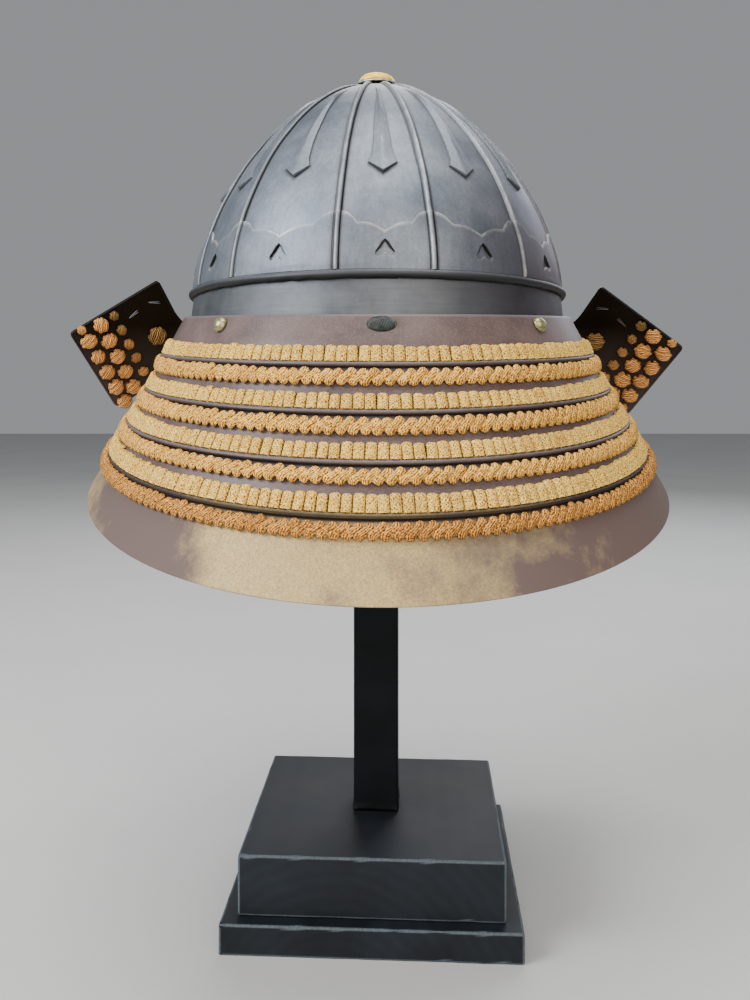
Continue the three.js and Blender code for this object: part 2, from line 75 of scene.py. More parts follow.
def feed(tree, socket, value):
    """Gives a socket a constant, a hex colour, a link from a socket, or one from a node's output in use."""
    if isinstance(value, bpy.types.Node):
        value = next(output for output in value.outputs if output.enabled)
    if isinstance(value, bpy.types.NodeSocket):
        tree.links.new(value, socket)
    else:
        socket.default_value = linear(value) if socket.type == "RGBA" and isinstance(value, str) else value


def add_node(tree, kind, inputs=(), stops=(), **settings):
    """Adds a node: settings by name, inputs in the sockets' order or by name, and a ramp's stops."""
    plain = kind.startswith(("Geometry", "Function", "NodeGroup"))
    made = tree.nodes.new(kind if plain else f"ShaderNode{kind}")
    for name, value in settings.items():
        setattr(made, name, value)
    for name, value in inputs.items() if isinstance(inputs, dict) else enumerate(inputs):
        feed(tree, made.inputs[name], value)
    for i, (place, colour) in enumerate(stops):
        stop = made.color_ramp.elements[i] if i < 2 else made.color_ramp.elements.new(place)
        stop.position = place
        stop.color = linear(colour)
    return made


def start_material(name):
    """A bare material, with functions that add a node and finish the shader, and the place on a piece."""
    material = bpy.data.materials.new(name)
    material.use_nodes = True
    tree = material.node_tree
    tree.nodes.clear()
    node = partial(add_node, tree)
    shader = node("BsdfPrincipled")
    node("OutputMaterial", [shader])

    def finish(**inputs):
        for name, value in inputs.items():
            feed(tree, shader.inputs[name.replace("_", " ")], value)

    return material, node, finish, node("TexCoord").outputs["Object"]


FLOOR_REACH = 4.0
floor_paper, node, finish, place = start_material("pale paper floor")
# Matt coated paper, with a faint mottle a few centimetres across.
mottle = node("TexNoise", {"Vector": place, "Scale": 6.0, "Detail": 3.0})
tone = node("ValToRGB", [mottle], [(0.3, "aeafae"), (0.7, "b3b3b2")])
finish(Base_Color=tone, Roughness=0.85)
floor_mesh = bpy.data.meshes.new("floor")
corners = [(-1, -1), (1, -1), (1, 1), (-1, 1)]
floor_mesh.from_pydata([(x * FLOOR_REACH, y * FLOOR_REACH, 0) for x, y in corners], [], [(0, 1, 2, 3)])
floor_mesh.materials.append(floor_paper)
add_object("floor", floor_mesh)

room = bpy.data.worlds.new("pale room")
room.use_nodes = True
background = room.node_tree.nodes["Background"]
background.inputs["Color"].default_value = linear("b9bcc0")
background.inputs["Strength"].default_value = 0.6
bpy.context.scene.world = room

for name, place, aim, size, watts, colour in [
    ("soft_box_left", (-1.3, -0.75, 1.15), (0, -0.05, 0.33), 0.9, 45, "fdfdff"),
    ("soft_box_top", (0.1, -0.2, 1.6), (0, 0, 0.35), 0.8, 16, "fffdf8"),
    ("soft_box_rear", (0.3, -1.8, 0.6), (0, 0, 0.28), 2.2, 54, "fff6ea"),
    ("soft_box_right", (0.95, 1.25, 1.05), (0, 0, 0.38), 0.9, 7, "eef2ff"),
    ("soft_box_front", (0.2, 1.2, 1.2), (0, 0, 0.3), 0.9, 12, "ffffff"),
]:
    light = bpy.data.lights.new(name, "AREA")
    light.size = size
    light.energy = watts
    light.color = linear(colour)[:3]
    lamp = add_object(name, light)
    lamp.location = place
    lamp.rotation_euler = (Vector(aim) - Vector(place)).to_track_quat("-Z", "Y").to_euler()


# --- Stand: slab, block and post ------------------------------------------------------------------------
# A wooden slab and block, stained blue-black and lightly painted over, with softened and rubbed edges.
# A square steel post, painted black, is glued into the block.
STAND_TURN = math.radians(-3.4)
SLAB = {"side": 157, "bottom": 0, "top": 16}
BLOCK = {"side": 140, "bottom": 16.3, "top": 48}
POST = {"side": 25.4, "bottom": 48.3, "top": 436}
PAINT_SKIRT = 5  # the paint on the post swells over this height at its foot
EDGE_LINES = np.array([0, 0.35, 0.8, 1.4, 2.2, 3.6])  # the mesh is finer close to an edge
EVEN_FROM = 6  # and even further in


def skin(rings, size, around=True, closed=False):
    """Quads between rings of points that lie in a row: around closes each ring, closed the row of them."""
    faces = []
    for r in range(rings if closed else rings - 1):
        here, after = r * size, (r + 1) % rings * size
        for s in range(size if around else size - 1):
            faces.append((here + s, here + (s + 1) % size, after + (s + 1) % size, after + s))
    return faces


def new_mesh(name, points, faces, uv=None, marks=None):
    """A mesh in metres from points in millimetres, its faces turned outwards; marks are values by point."""
    mesh = bpy.data.meshes.new(name)
    mesh.from_pydata((np.asarray(points, float) / 1000).tolist(), [], [list(map(int, f)) for f in faces])
    for label, values in (marks or {}).items():
        mesh.attributes.new(label, "FLOAT", "POINT").data.foreach_set("value", np.asarray(values, np.float32))
    if uv is not None:
        loop_points = np.empty(len(mesh.loops), int)
        mesh.loops.foreach_get("vertex_index", loop_points)
        by_loop = np.asarray(uv, np.float32)[loop_points].ravel()
        mesh.uv_layers.new(name="UVMap").data.foreach_set("uv", by_loop)
    shape = bmesh.new()
    shape.from_mesh(mesh)
    bmesh.ops.remove_doubles(shape, verts=shape.verts, dist=1e-6)
    bmesh.ops.recalc_face_normals(shape, faces=shape.faces)
    shape.to_mesh(mesh)
    shape.free()
    return mesh


def settle(name, mesh, material, replaced, smooth_under=35):
    """Puts a finished mesh in the scene on the body root, in place of its CAD nodes."""
    mesh.shade_smooth()
    mesh.set_sharp_from_angle(angle=math.radians(smooth_under))
    mesh.materials.clear()
    mesh.materials.append(material)
    piece = add_object(name, mesh)
    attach(piece, "root")
    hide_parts(*replaced)
    return piece


def add_piece(name, points, faces, material, replaced, smooth_under=35, marks=None):
    """A finished piece from points in millimetres."""
    return settle(name, new_mesh(name, points, faces, marks=marks), material, replaced, smooth_under)


def rough(points, scale, depth=1):
    """Smooth noise from -1 to 1 at millimetre points, with lumps about scale mm across."""
    return np.array([noise.fractal(Vector(p) / scale, 1.0, 2.0, depth) for p in np.asarray(points).tolist()])


def worn_box(side, bottom, top, radius, cell, wander):
    """A box of fine cells with edges rounded by a wandering radius, turned as the stand is, and its wear."""
    def lines(low, high):
        count = max(2, round((high - low - 2 * EVEN_FROM) / cell) + 1)
        middle = np.linspace(low + EVEN_FROM, high - EVEN_FROM, count)
        return np.concatenate([low + EDGE_LINES, middle, high - EDGE_LINES[::-1]])

    axes = [lines(-side / 2, side / 2), lines(-side / 2, side / 2), lines(bottom, top)]
    points, faces = [], []
    for axis in range(3):
        u, v = [a for a in range(3) if a != axis]
        for end in (0, -1):
            start = len(points)
            for p in axes[u]:
                for q in axes[v]:
                    corner = [0.0, 0.0, 0.0]
                    corner[axis], corner[u], corner[v] = axes[axis][end], p, q
                    points.append(corner)
            grid = skin(len(axes[u]), len(axes[v]), around=False)
            faces += [[start + i for i in face] for face in grid]
    points = np.array(points)
    low = np.array([-side / 2, -side / 2, bottom])
    high = np.array([side / 2, side / 2, top])
    bend = radius * (1 + wander * rough(points, 14, 3))[:, None]
    core = np.clip(points, low + bend, high - bend)
    away = points - core
    length = np.linalg.norm(away, axis=1)
    near_edge = (np.abs(away) > 1e-6).sum(axis=1) > 1
    points = np.where(near_edge[:, None], core + away / np.maximum(length, 1e-9)[:, None] * bend, points)
    cos, sin = math.cos(STAND_TURN), math.sin(STAND_TURN)
    points = points @ np.array([[cos, sin, 0], [-sin, cos, 0], [0, 0, 1]])
    return points, faces, {"wear": near_edge.astype(float)}


stained_wood, node, finish, place = start_material("stained and painted pine")
# Brushed paint over open grain: the eye sees dull blue-black with faint streaks and rubbed paler edges.
turned = node("Mapping", {"Vector": place, "Rotation": (0, 0, -STAND_TURN)})
# Growth rings about 3 mm apart run along X and show as arcs on the end grain.
grain_place = node("Mapping", {"Vector": turned, "Location": (0.02, 0, 0.03), "Scale": (1, 0.06, 1)})
ring_size = {"Scale": 45.0, "Distortion": 3.5, "Detail": 3.0, "Detail Scale": 1.5}
rings = node("TexWave", {"Vector": grain_place, **ring_size}, wave_type="RINGS",
             rings_direction="Y").outputs["Fac"]
pores = node("TexNoise", {"Vector": grain_place, "Scale": 900.0, "Detail": 4.0, "Roughness": 0.7})
cloud = node("TexNoise", {"Vector": place, "Scale": 22.0, "Detail": 5.0, "Roughness": 0.6})
paint = node("ValToRGB", [cloud], [(0.3, "0f1216"), (0.72, "1a2027")])
grain_shade = node("MapRange", [rings, 0, 1, 0.9, 1.06])
grained = node("Mix", {0: 1.0, 6: paint, 7: grain_shade}, **SHADE)
edge = node("Attribute", attribute_name="wear").outputs["Fac"]
chip = node("Math", [edge, pores], operation="MULTIPLY")
rubbed_and_lit = node("Mix", {0: chip, 6: grained, 7: "5e6970"}, **TINT)
dull = node("MapRange", [cloud, 0, 1, 0.42, 0.7])
relief = node("Math", [rings, 0.25, pores], operation="MULTIPLY_ADD")
bump = node("Bump", {"Height": relief, "Strength": 0.1, "Distance": 0.0004})
finish(Base_Color=rubbed_and_lit, Roughness=dull, Normal=bump, Specular_IOR_Level=0.2)

for name, box in (("stand_slab", SLAB), ("stand_block", BLOCK)):
    points, faces, marks = worn_box(**box, radius=1.1, cell=5, wander=0.5)
    add_piece(f"{name}_wood", points, faces, stained_wood, [name], marks=marks)

painted_steel, node, finish, place = start_material("black painted steel")
# Sprayed satin enamel on mild steel: near black, with a soft even sheen and lumpy paint at the foot.
peel = node("TexNoise", {"Vector": place, "Scale": 420.0, "Detail": 2.0})
smear = node("TexNoise", {"Vector": place, "Scale": 30.0, "Detail": 4.0})
paint = node("ValToRGB", [smear], [(0.35, "050708"), (0.75, "0e1216")])
dull = node("MapRange", [smear, 0, 1, 0.4, 0.58])
bump = node("Bump", {"Height": peel, "Strength": 0.1, "Distance": 0.0002})
finish(Base_Color=paint, Roughness=dull, Normal=bump, Specular_IOR_Level=0.08)

points, faces, marks = worn_box(**POST, radius=1.6, cell=4, wander=0.05)
near_foot = np.clip((POST["bottom"] + PAINT_SKIRT - points[:, 2]) / PAINT_SKIRT, 0, 1)
spread = 1 + near_foot * (0.05 + 0.07 * rough(points, 3.5, 3))
points[:, :2] *= spread[:, None]
add_piece("stand_post_steel", points, faces, painted_steel, ["stand_post"], marks=marks)


# --- Bowl: fourteen riveted iron plates -------------------------------------------------------------------
# Each plate is hammered from sheet iron. Its right edge is turned up into a rib that covers the seam, a
# sword-tip tongue hangs from the crown, and a cloud-edged sheet with a pierced heart is laid over its foot.
OVAL = 1.1
BOWL = {"radius": 105.7, "base": 350.3, "rise": 121.5, "roundness": 1.15, "fullness": 1.28, "tilt": 0.0406,
        "mouth": 7}
SEAMS = [-11, 14.8, 44.6, *np.linspace(70.6, 295.7, 10), 315.8, 349]
SEAM = 0.2
WALL = 2.0
DENTS = {"depth": 0.28, "across": 26}
RIB = {"width": 3.2, "height": 1.7, "narrow_from": 24}
RIB_PROFILE = [(-0.22, 0.0), (-0.1, -0.14), (0.02, -0.14), (0.1, 0.18), (0.22, 0.62), (0.38, 0.9),
               (0.55, 1.0),
               (0.72, 0.93), (0.86, 0.72), (0.95, 0.4), (1.0, 0.1)]
BLADE_HALVES = [(48, 7.2), (55.8, 7.2), (59.3, 5.5), (68.4, 4.3), (81.3, 3.4), (92.1, 2.1), (104, 0.8),
                (125, 0.8)]
BLADE = {"corner": 55.8, "tip": 50.2, "half": 7.2, "edge": 0.8, "ridge": 2.0, "fades": 112}
CLOUD = {"thickness": 0.8, "middle": 18.4, "cusp": 22.9, "rib": 28.9, "cusp_place": 0.62, "swell": 1.6}
HEART = {"half": 4.95, "bottom": 6.0, "top": 14.5, "depth": 1.3}
HEART_OUTLINE = [(0, 1), (0.32, 0.78), (0.62, 0.52), (0.86, 0.34), (1, 0.22), (1.0, 0.1), (0.88, 0.0),
                 (0.66, -0.02),
                 (0.45, 0.0), (0.2, 0.1), (0, 0.2)]
# Rings from the edge of the hole to the heart's bottom: blend, inset, sink, painted highlight and painted
# shade. The hole's upper walls are painted dark as shade, its lower walls painted light as highlight.
HEART_RINGS = [(0.45, 0, 0, 0, 0.2), (0.84, 0, 0, 0.1, 0.2), (0.93, 0, 0, 0.4, 0.7), (1, 0, 0, 1, 1),
               (1, 0.3, -HEART["depth"], 0.5, 1), (1, 0.8, -HEART["depth"], 0, 1),
               (1, 1.5, -HEART["depth"], 0, 0.2)]
CLOUD_ROWS = 24
MIDDLE_ROWS = 22
UPPER_ROWS = 78
HOLE = {"rows": (4, 21), "columns": (14, 22)}  # cells of the mesh left out round the heart


def on_ring(a, t, z):
    """A point on an oval ring: t runs from the middle of the back towards +X, in radians."""
    return np.stack([a * np.sin(t), -OVAL * a * np.cos(t), z * np.ones_like(t)], axis=-1)


def tilted(points):
    """The bowl sits a little nose down."""
    points[..., 2] -= BOWL["tilt"] * (points[..., 1] + OVAL * BOWL["radius"])
    return points


def row_at(height):
    return np.arcsin(np.clip(height / BOWL["rise"], 0, 1) ** (1 / BOWL["fullness"]))


def ring_at(row):
    return BOWL["radius"] * np.cos(row) ** BOWL["roundness"]


def on_bowl(across, height, middle, offset):
    """A point on the bowl: millimetres across from a plate's middle, above the rim and off its face."""
    row = row_at(height)
    t = middle + across / ring_at(row)
    a = (BOWL["radius"] + offset) * np.cos(row) ** BOWL["roundness"]
    z = BOWL["base"] + (BOWL["rise"] + offset) * np.sin(row) ** BOWL["fullness"]
    return tilted(on_ring(a, t, z))


def dents(points):
    return DENTS["depth"] * rough(points, DENTS["across"], 2)


def cloud_edge(place):
    """Height of the cloud's top edge: two bulging lobes on each side of the plate's middle."""
    x = np.minimum(np.abs(place), 1)
    low = x < CLOUD["cusp_place"]
    part = np.where(low, x / CLOUD["cusp_place"], (x - CLOUD["cusp_place"]) / (1 - CLOUD["cusp_place"]))
    foot = np.where(low, CLOUD["middle"], CLOUD["cusp"])
    head = np.where(low, CLOUD["cusp"], CLOUD["rib"])
    return foot + (head - foot) * part + CLOUD["swell"] * np.sin(math.pi * part)


def blade_half(height):
    return np.interp(height, *zip(*BLADE_HALVES))


def plate_columns(height, span):
    """Places of the columns across a plate at some heights, and the sizes that they follow."""
    ring = ring_at(row_at(height))
    edge = span * ring - SEAM / 2
    shrink = np.minimum(1, ring / RIB["narrow_from"])
    width = RIB["width"] * shrink
    foot = edge - width
    half = np.minimum(blade_half(height), 0.62 * edge)
    step = 0.3 * shrink
    # The tongue hangs down the middle of what the rib leaves free.
    middle = -width / 2
    columns = [-edge + (edge + middle - half) * part for part in np.linspace(0, 1, 13)]
    columns += [middle - half + step + (half - step) * part for part in np.linspace(0, 1, 6)]
    columns += [middle + (half - step) * part for part in np.linspace(0, 1, 6)[1:]]
    columns += [middle + half + (foot - width * 0.22 - middle - half) * part
                for part in np.linspace(0, 1, 13)[:-1]]
    columns += [foot + width * along for along, _ in RIB_PROFILE]
    return np.stack(columns, axis=-1), edge, foot, width, shrink


def plate_relief(across, height, foot, width, shrink, above_cloud, above_blade):
    """How far the plate's face stands out, and where its rib is."""
    relief = np.where(above_cloud, 0, CLOUD["thickness"])
    off_middle = np.abs(across + width / 2)
    inside = np.clip((blade_half(height) - off_middle) / np.maximum(0.3 * shrink, 0.05), 0, 1)
    ridge = (1 - off_middle / np.maximum(blade_half(height), 0.4)).clip(0, 1)
    tongue = BLADE["edge"] + (BLADE["ridge"] - BLADE["edge"]) * ridge
    fade = np.clip((BLADE["fades"] - height) / 10, 0, 1)
    relief = relief + np.where(above_blade, tongue * inside * fade * np.maximum(shrink, 0.4), 0)
    along = (across - foot) / width
    rib = np.interp(along, *zip(*RIB_PROFILE)) * RIB["height"] * np.maximum(0.45, shrink)
    on_rib = along > -0.22
    return np.where(on_rib, np.maximum(relief * (along < 0.05), 0) + rib, relief), on_rib


def near(distance, reach, most=1):
    """Fades from 1 to 0 over a reach, and never passes most."""
    return np.clip(1 - np.abs(distance) / reach, 0, most)


def plate_face(middle, span):
    """The outer face: places across, heights, reliefs, wear and painted highlight, and painted shade and
    grime of its rows and columns.
    """
    # Rows run level at the rim, follow the cloud's edge and the tongue's tip, and end level at the crown.
    base_columns, edge, _, width, _ = plate_columns(np.full(1, 20.0), span)
    off_middle = base_columns[0] + width[0] / 2
    cloud_top = cloud_edge(off_middle / (edge[0] - width[0] / 2))
    point = np.clip(np.abs(off_middle) / BLADE["half"], 0, 1)
    tip_row = BLADE["tip"] + (BLADE["corner"] - BLADE["tip"]) * point
    mouth_row = math.acos((BOWL["mouth"] / BOWL["radius"]) ** (1 / BOWL["roundness"]))
    mouth = BOWL["rise"] * math.sin(mouth_row) ** BOWL["fullness"]
    parts = [(0 * cloud_top, cloud_top, np.linspace(0, 1, CLOUD_ROWS + 1)),
             (cloud_top + 0.35, tip_row - 0.35, np.linspace(0, 1, MIDDLE_ROWS + 1)),
             (tip_row, mouth, np.linspace(0, 1, UPPER_ROWS + 1) ** 0.85)]
    heights = np.array([low + (high - low) * part for low, high, steps in parts for part in steps])
    tip_line = CLOUD_ROWS + MIDDLE_ROWS + 2
    across, reliefs, wears_and_highlights, shades_and_grime = (np.zeros_like(heights) for _ in range(4))
    count = heights.shape[1]
    for k, height in enumerate(heights):
        all_columns, edge, foot, width, shrink = plate_columns(height, span)
        across[k] = all_columns[np.arange(count), np.arange(count)]
        over_blade = k >= tip_line
        reliefs[k], on_rib = plate_relief(across[k], height, foot, width, shrink, k > CLOUD_ROWS, over_blade)
        along = (across[k] - foot) / width
        # The rib's crest is painted paler, partly wear and partly a painted highlight.
        wears_and_highlights[k] = np.where(on_rib, np.clip(0.75 - 2.2 * np.abs(along - 0.42), 0, 1), 0)
        # Painted shade lies along both sides of the rib, thickest where it covers the seam, and on the
        # plate's first columns beside the seam.
        shades_and_grime[k] = near(along + 0.08, 0.2, 0.8) + np.clip((along - 0.84) / 0.1, 0, 1)
        shades_and_grime[k] += np.clip(1.15 - (across[k] + edge) / 1.1, 0, 1) * (np.arange(count) < 3)
        # Along the tongue's edges: a paler line inside them, and a painted shadow just outside them.
        beside = np.abs(across[k] + width / 2) - blade_half(height)
        on_tongue = over_blade & ~on_rib & (height < BLADE["fades"])
        wears_and_highlights[k] += np.where(on_tongue, near(beside + 0.5, 0.5) * 0.35, 0)
        shades_and_grime[k] += np.where(on_tongue, near(beside - 0.1, 0.5) * 0.6, 0)
    # The cloud-edged sheet is darker and duller than the plate it covers, and its edge is painted bright,
    # partly rubbed wear and partly a painted highlight where the edge catches light.
    shades_and_grime[:CLOUD_ROWS] += 0.2
    wears_and_highlights[CLOUD_ROWS - 1] = np.maximum(wears_and_highlights[CLOUD_ROWS - 1], 0.55)
    wears_and_highlights[CLOUD_ROWS] = np.maximum(wears_and_highlights[CLOUD_ROWS], 0.95)
    # A painted shadow lies under the tongue's tip.
    under_tip = np.abs(across[tip_line - 1] + RIB["width"] / 2) < BLADE["half"] + 0.4
    shades_and_grime[tip_line - 2:tip_line, under_tip] = np.array([[0.5], [1.0]])
    knocked = dents(on_bowl(across, heights, middle, 0).reshape(-1, 3)).reshape(heights.shape)
    reliefs += knocked * (heights > 2)
    return across, heights, reliefs, wears_and_highlights, shades_and_grime


def bowl_plate(index):
    """One closed plate: its face with the pierced heart, a coarse inner face and the edges between them."""
    middle = math.radians((SEAMS[index] + SEAMS[index + 1]) / 2)
    span = math.radians((SEAMS[index + 1] - SEAMS[index]) / 2)
    across, heights, reliefs, wears_and_highlights, shades_and_grime = plate_face(middle, span)
    rows, columns = heights.shape
    points = list(on_bowl(across, heights, middle, reliefs).reshape(-1, 3))
    wear, grime = list(wears_and_highlights.ravel()), list(shades_and_grime.ravel())
    (r0, r1), (c0, c1) = HOLE["rows"], HOLE["columns"]
    faces = [face for face in skin(rows, columns, around=False)
             if not (r0 <= face[0] // columns < r1 and c0 <= face[0] % columns < c1)]
    # The pierced heart: rings of points run in from the edge of the hole left for it to its outline.
    border = [(r0, c) for c in range(c0, c1)] + [(r, c1) for r in range(r0, r1)]
    border += [(r1, c) for c in range(c1, c0, -1)] + [(r, c0) for r in range(r1, r0, -1)]
    ring = [r * columns + c for r, c in border]
    frame_x = across.ravel()[ring]
    frame_y = heights.ravel()[ring]
    drop = HEART["top"] - HEART["bottom"]
    outline = [(x * HEART["half"], HEART["bottom"] + y * drop) for x, y in HEART_OUTLINE]
    outline = np.array(outline + [(-x, y) for x, y in outline[-2:0:-1]]) - (RIB["width"] / 2, 0)
    centre = np.array([-RIB["width"] / 2, HEART["bottom"] + 0.42 * drop])
    # Each point of the border looks at the heart's middle; the outline is met where that line crosses it.
    steps = np.linspace(0, 1, 12, endpoint=False)[:, None]
    fine = np.concatenate([a + (b - a) * steps for a, b in zip(outline, np.roll(outline, -1, axis=0))])
    turn_fine = np.arctan2(fine[:, 1] - centre[1], fine[:, 0] - centre[0])
    turn_ring = np.arctan2(frame_y - centre[1], frame_x - centre[0])
    met = np.array([fine[np.argmin(np.abs(np.angle(np.exp(1j * (turn_fine - a)))))] for a in turn_ring])
    upper = met[:, 1] > HEART["bottom"] + 0.24 * drop
    for blend, inset_by, sink, shine, shade_and_dirt in HEART_RINGS:
        x = frame_x + (met[:, 0] - frame_x) * blend
        y = frame_y + (met[:, 1] - frame_y) * blend
        away = np.hypot(x - centre[0], y - centre[1])
        x = x - (x - centre[0]) / away * inset_by
        y = y - (y - centre[1]) / away * inset_by
        start = len(points)
        points.extend(on_bowl(x, y, middle, CLOUD["thickness"] + sink + dents(on_bowl(x, y, middle, 0))))
        # Painted highlight on the heart's lower walls, painted shade on its upper ones.
        wear.extend(np.where(upper, 0, shine))
        grime.extend(np.where(upper, shade_and_dirt, min(shade_and_dirt, 0.2)))
        new_ring = list(range(start, len(points)))
        quads = zip(ring, np.roll(ring, -1), new_ring, np.roll(new_ring, -1))
        faces += [(a, b, d, c) for a, b, c, d in quads]
        ring = new_ring
    points.append(on_bowl(np.array(centre[0]), np.array(centre[1]), middle,
                          CLOUD["thickness"] - HEART["depth"]))
    wear.append(0)
    grime.append(0.1)
    faces += [(a, b, len(points) - 1) for a, b in zip(ring, np.roll(ring, -1))]
    # The plain inner face is coarser; the edges of the sheet close against it in long faces.
    row_steps = [*range(0, rows - 1, 8), rows - 1]
    column_steps = [*range(0, columns - 1, 9), columns - 1]
    inner = {}
    for r in row_steps:
        for c in column_steps:
            inner[r, c] = len(points)
            points.append(on_bowl(across[r, c], heights[r, c], middle, -WALL))
            wear.append(0)
            grime.append(0)
    for r, r2 in zip(row_steps, row_steps[1:]):
        for c, c2 in zip(column_steps, column_steps[1:]):
            faces.append((inner[r, c], inner[r2, c], inner[r2, c2], inner[r, c2]))
        for c in (0, columns - 1):
            faces.append([k * columns + c for k in range(r, r2 + 1)] + [inner[r2, c], inner[r, c]])
    for c, c2 in zip(column_steps, column_steps[1:]):
        for r in (0, rows - 1):
            faces.append([r * columns + k for k in range(c, c2 + 1)] + [inner[r, c2], inner[r, c]])
    return points, faces, {"wear": wear, "grime": np.clip(grime, 0, 1)}


russet_iron, node, finish, place = start_material("russet iron")
# Hammered iron with a rubbed rust-brown and blue-grey patina: satin, pale along the raised edges, partly
# where hands wore them and partly as painted highlight, brown-purple low on one side, with streaks that run
# down from the crown, and painted shade in creases, seams and under edges.
cloudy = node("TexNoise", {"Vector": place, "Scale": 28.0, "Detail": 6.0, "Roughness": 0.62})
# Wiping marks run down each plate, about 2 mm apart and 40 mm long.
down = node("Mapping", {"Vector": place, "Scale": (1, 1, 0.07)})
streaks = node("TexNoise", {"Vector": down, "Scale": 420.0, "Detail": 3.0, "Roughness": 0.6})
# Rust bloom is finer than a render shows, so it is drawn with specks about 0.7 mm across.
specks = node("TexNoise", {"Vector": place, "Scale": 900.0, "Detail": 3.0, "Roughness": 0.75})
patina = node("ValToRGB", [cloudy], [(0.28, "5f6772"), (0.5, "737a84"), (0.72, "888f98")])
streak_shade = node("MapRange", [streaks, 0.3, 0.7, 0.88, 1.08])
streaked = node("Mix", {0: 1.0, 6: patina, 7: streak_shade}, **SHADE)
speck_shade = node("MapRange", [specks, 0.35, 0.65, 0.88, 1.1])
speckled = node("Mix", {0: 1.0, 6: streaked, 7: speck_shade}, **SHADE)
# Brown oxide shows low on the +X side.
sides = node("SeparateXYZ", [place]).outputs
rightward = node("MapRange", [sides["X"], 0.03, 0.1, 0, 1.4])
lowward = node("MapRange", [sides["Z"], 0.43, 0.37])
brown_place = node("Math", [rightward, lowward], operation="MULTIPLY")
brown_patchy = node("Math", [brown_place, cloudy], operation="MULTIPLY")
browned = node("Mix", {0: brown_patchy, 6: speckled, 7: "4d343b"}, **TINT)
# The wear marks paint rubbed pale edges, and painted highlights on rib crests, the cloud's edge, the heart's
# lower walls and the bead's top.
worn_and_lit = node("Attribute", attribute_name="wear").outputs["Fac"]
handled = node("TexNoise", {"Vector": place, "Scale": 70.0, "Detail": 3.0, "Roughness": 0.6})
handled_often = node("MapRange", [handled, 0.38, 0.62, 0.25, 1.5])
wear_and_highlight_here = node("Math", [worn_and_lit, handled_often], operation="MULTIPLY")
patchy_wear_and_highlight = node("Math", [wear_and_highlight_here, specks], operation="MULTIPLY")
rubbed_and_lit = node("Mix", {0: patchy_wear_and_highlight, 6: browned, 7: "bfbfb9"}, **TINT)
# A painted highlight: the crown is paler all round, in blotches that fade out 15 mm below the fitting.
high = node("MapRange", [sides["Z"], 0.452, 0.472, 0, 1.5])
crown_highlight = node("Math", [high, streaks], operation="MULTIPLY")
crown_lit = node("Mix", {0: crown_highlight, 6: rubbed_and_lit, 7: "aeb1ae"}, **TINT)
# Painted shade darkens seams, rib sides, the heart's upper walls and the undersides of the bead and washer,
# with some grime on the cloud sheet.
shade_and_dirt = node("Attribute", attribute_name="grime").outputs["Fac"]
shaded_and_grimy = node("Mix", {0: shade_and_dirt, 6: crown_lit, 7: "121316"}, **TINT)
dull = node("MapRange", [shade_and_dirt, 0, 1, 0.85, 0.2])
gloss = node("MapRange", [cloudy, 0, 1, 0.44, 0.6])
pitting = node("Math", [specks, streaks], operation="ADD")
bump = node("Bump", {"Height": pitting, "Strength": 0.2, "Distance": 0.0003})
finish(Base_Color=shaded_and_grimy, Roughness=gloss, Normal=bump, Metallic=dull)

for index in range(len(SEAMS) - 1):
    points, faces, marks = bowl_plate(index)
    label = f"bowl_plate_{index + 1:02d}"
    add_piece(f"{label}_iron", points, faces, russet_iron, [label], smooth_under=32, marks=marks)


# --- Crown fitting ------------------------------------------------------------------------------------------
# A thin iron washer with a wavy edge closes the mouth of the bowl, and a low boss of gilt copper stands on
# it. Both are cut and beaten from sheet, and held by a stem that is clenched inside.
WASHER = {"radius": 11.5, "foot": 468.4, "top": 469.6, "stem": 5.0, "stem_foot": 466.0, "ease": 0.3}
BOSS = {"radius": 10.6, "foot": 469.9, "top": 475.2}


def turned_piece(profile, sides, wobble):
    """A profile of radius and height turned around the upright axis; its two ends close on the axis."""
    inner = profile[1:-1]
    points = []
    for t in 2 * math.pi * np.arange(sides) / sides:
        for r, z in inner:
            spread = r * (1 + wobble(r, t))
            points.append((spread * math.cos(t), spread * math.sin(t), z))
    low, high = len(points), len(points) + 1
    points += [(0, 0, profile[0][1]), (0, 0, profile[-1][1])]
    n = len(inner)
    faces = skin(sides, n, around=False, closed=True)
    for s in range(sides):
        here, after = s * n, (s + 1) % sides * n
        faces += [(low, after, here), (high, here + n - 1, after + n - 1)]
    return np.array(points), faces


gilt_copper, node, finish, place = start_material("gilt copper")
# Fire-gilt over a beaten boss: bright warm yellow on top, duller and redder where the gold has worn.
rub = node("TexNoise", {"Vector": place, "Scale": 260.0, "Detail": 5.0, "Roughness": 0.65})
gold = node("ValToRGB", [rub], [(0.3, "d9a21e"), (0.5, "f6c934"), (0.75, "ffe25c")])
dull = node("MapRange", [rub, 0, 1, 0.55, 0.38])
bump = node("Bump", {"Height": rub, "Strength": 0.25, "Distance": 0.0004})
finish(Base_Color=gold, Roughness=dull, Normal=bump, Metallic=0.3)

radius, foot, top, stem, stem_foot, ease = WASHER.values()
profile = [(0, stem_foot), (stem, stem_foot), (stem, foot), (radius - ease, foot), (radius, foot + ease),
           (radius, top - ease), (radius - ease, top), (0, top)]
points, faces = turned_piece(profile, 96, lambda r, t: 0.018 * math.cos(14 * t) * (r > 8))
# Painted shade on the washer's underside.
marks = {"wear": np.full(len(points), 0.9), "grime": points[:, 2] < foot + 0.1}
add_piece("crown_washer_iron", points, faces, russet_iron, ["crown_washer"], marks=marks)

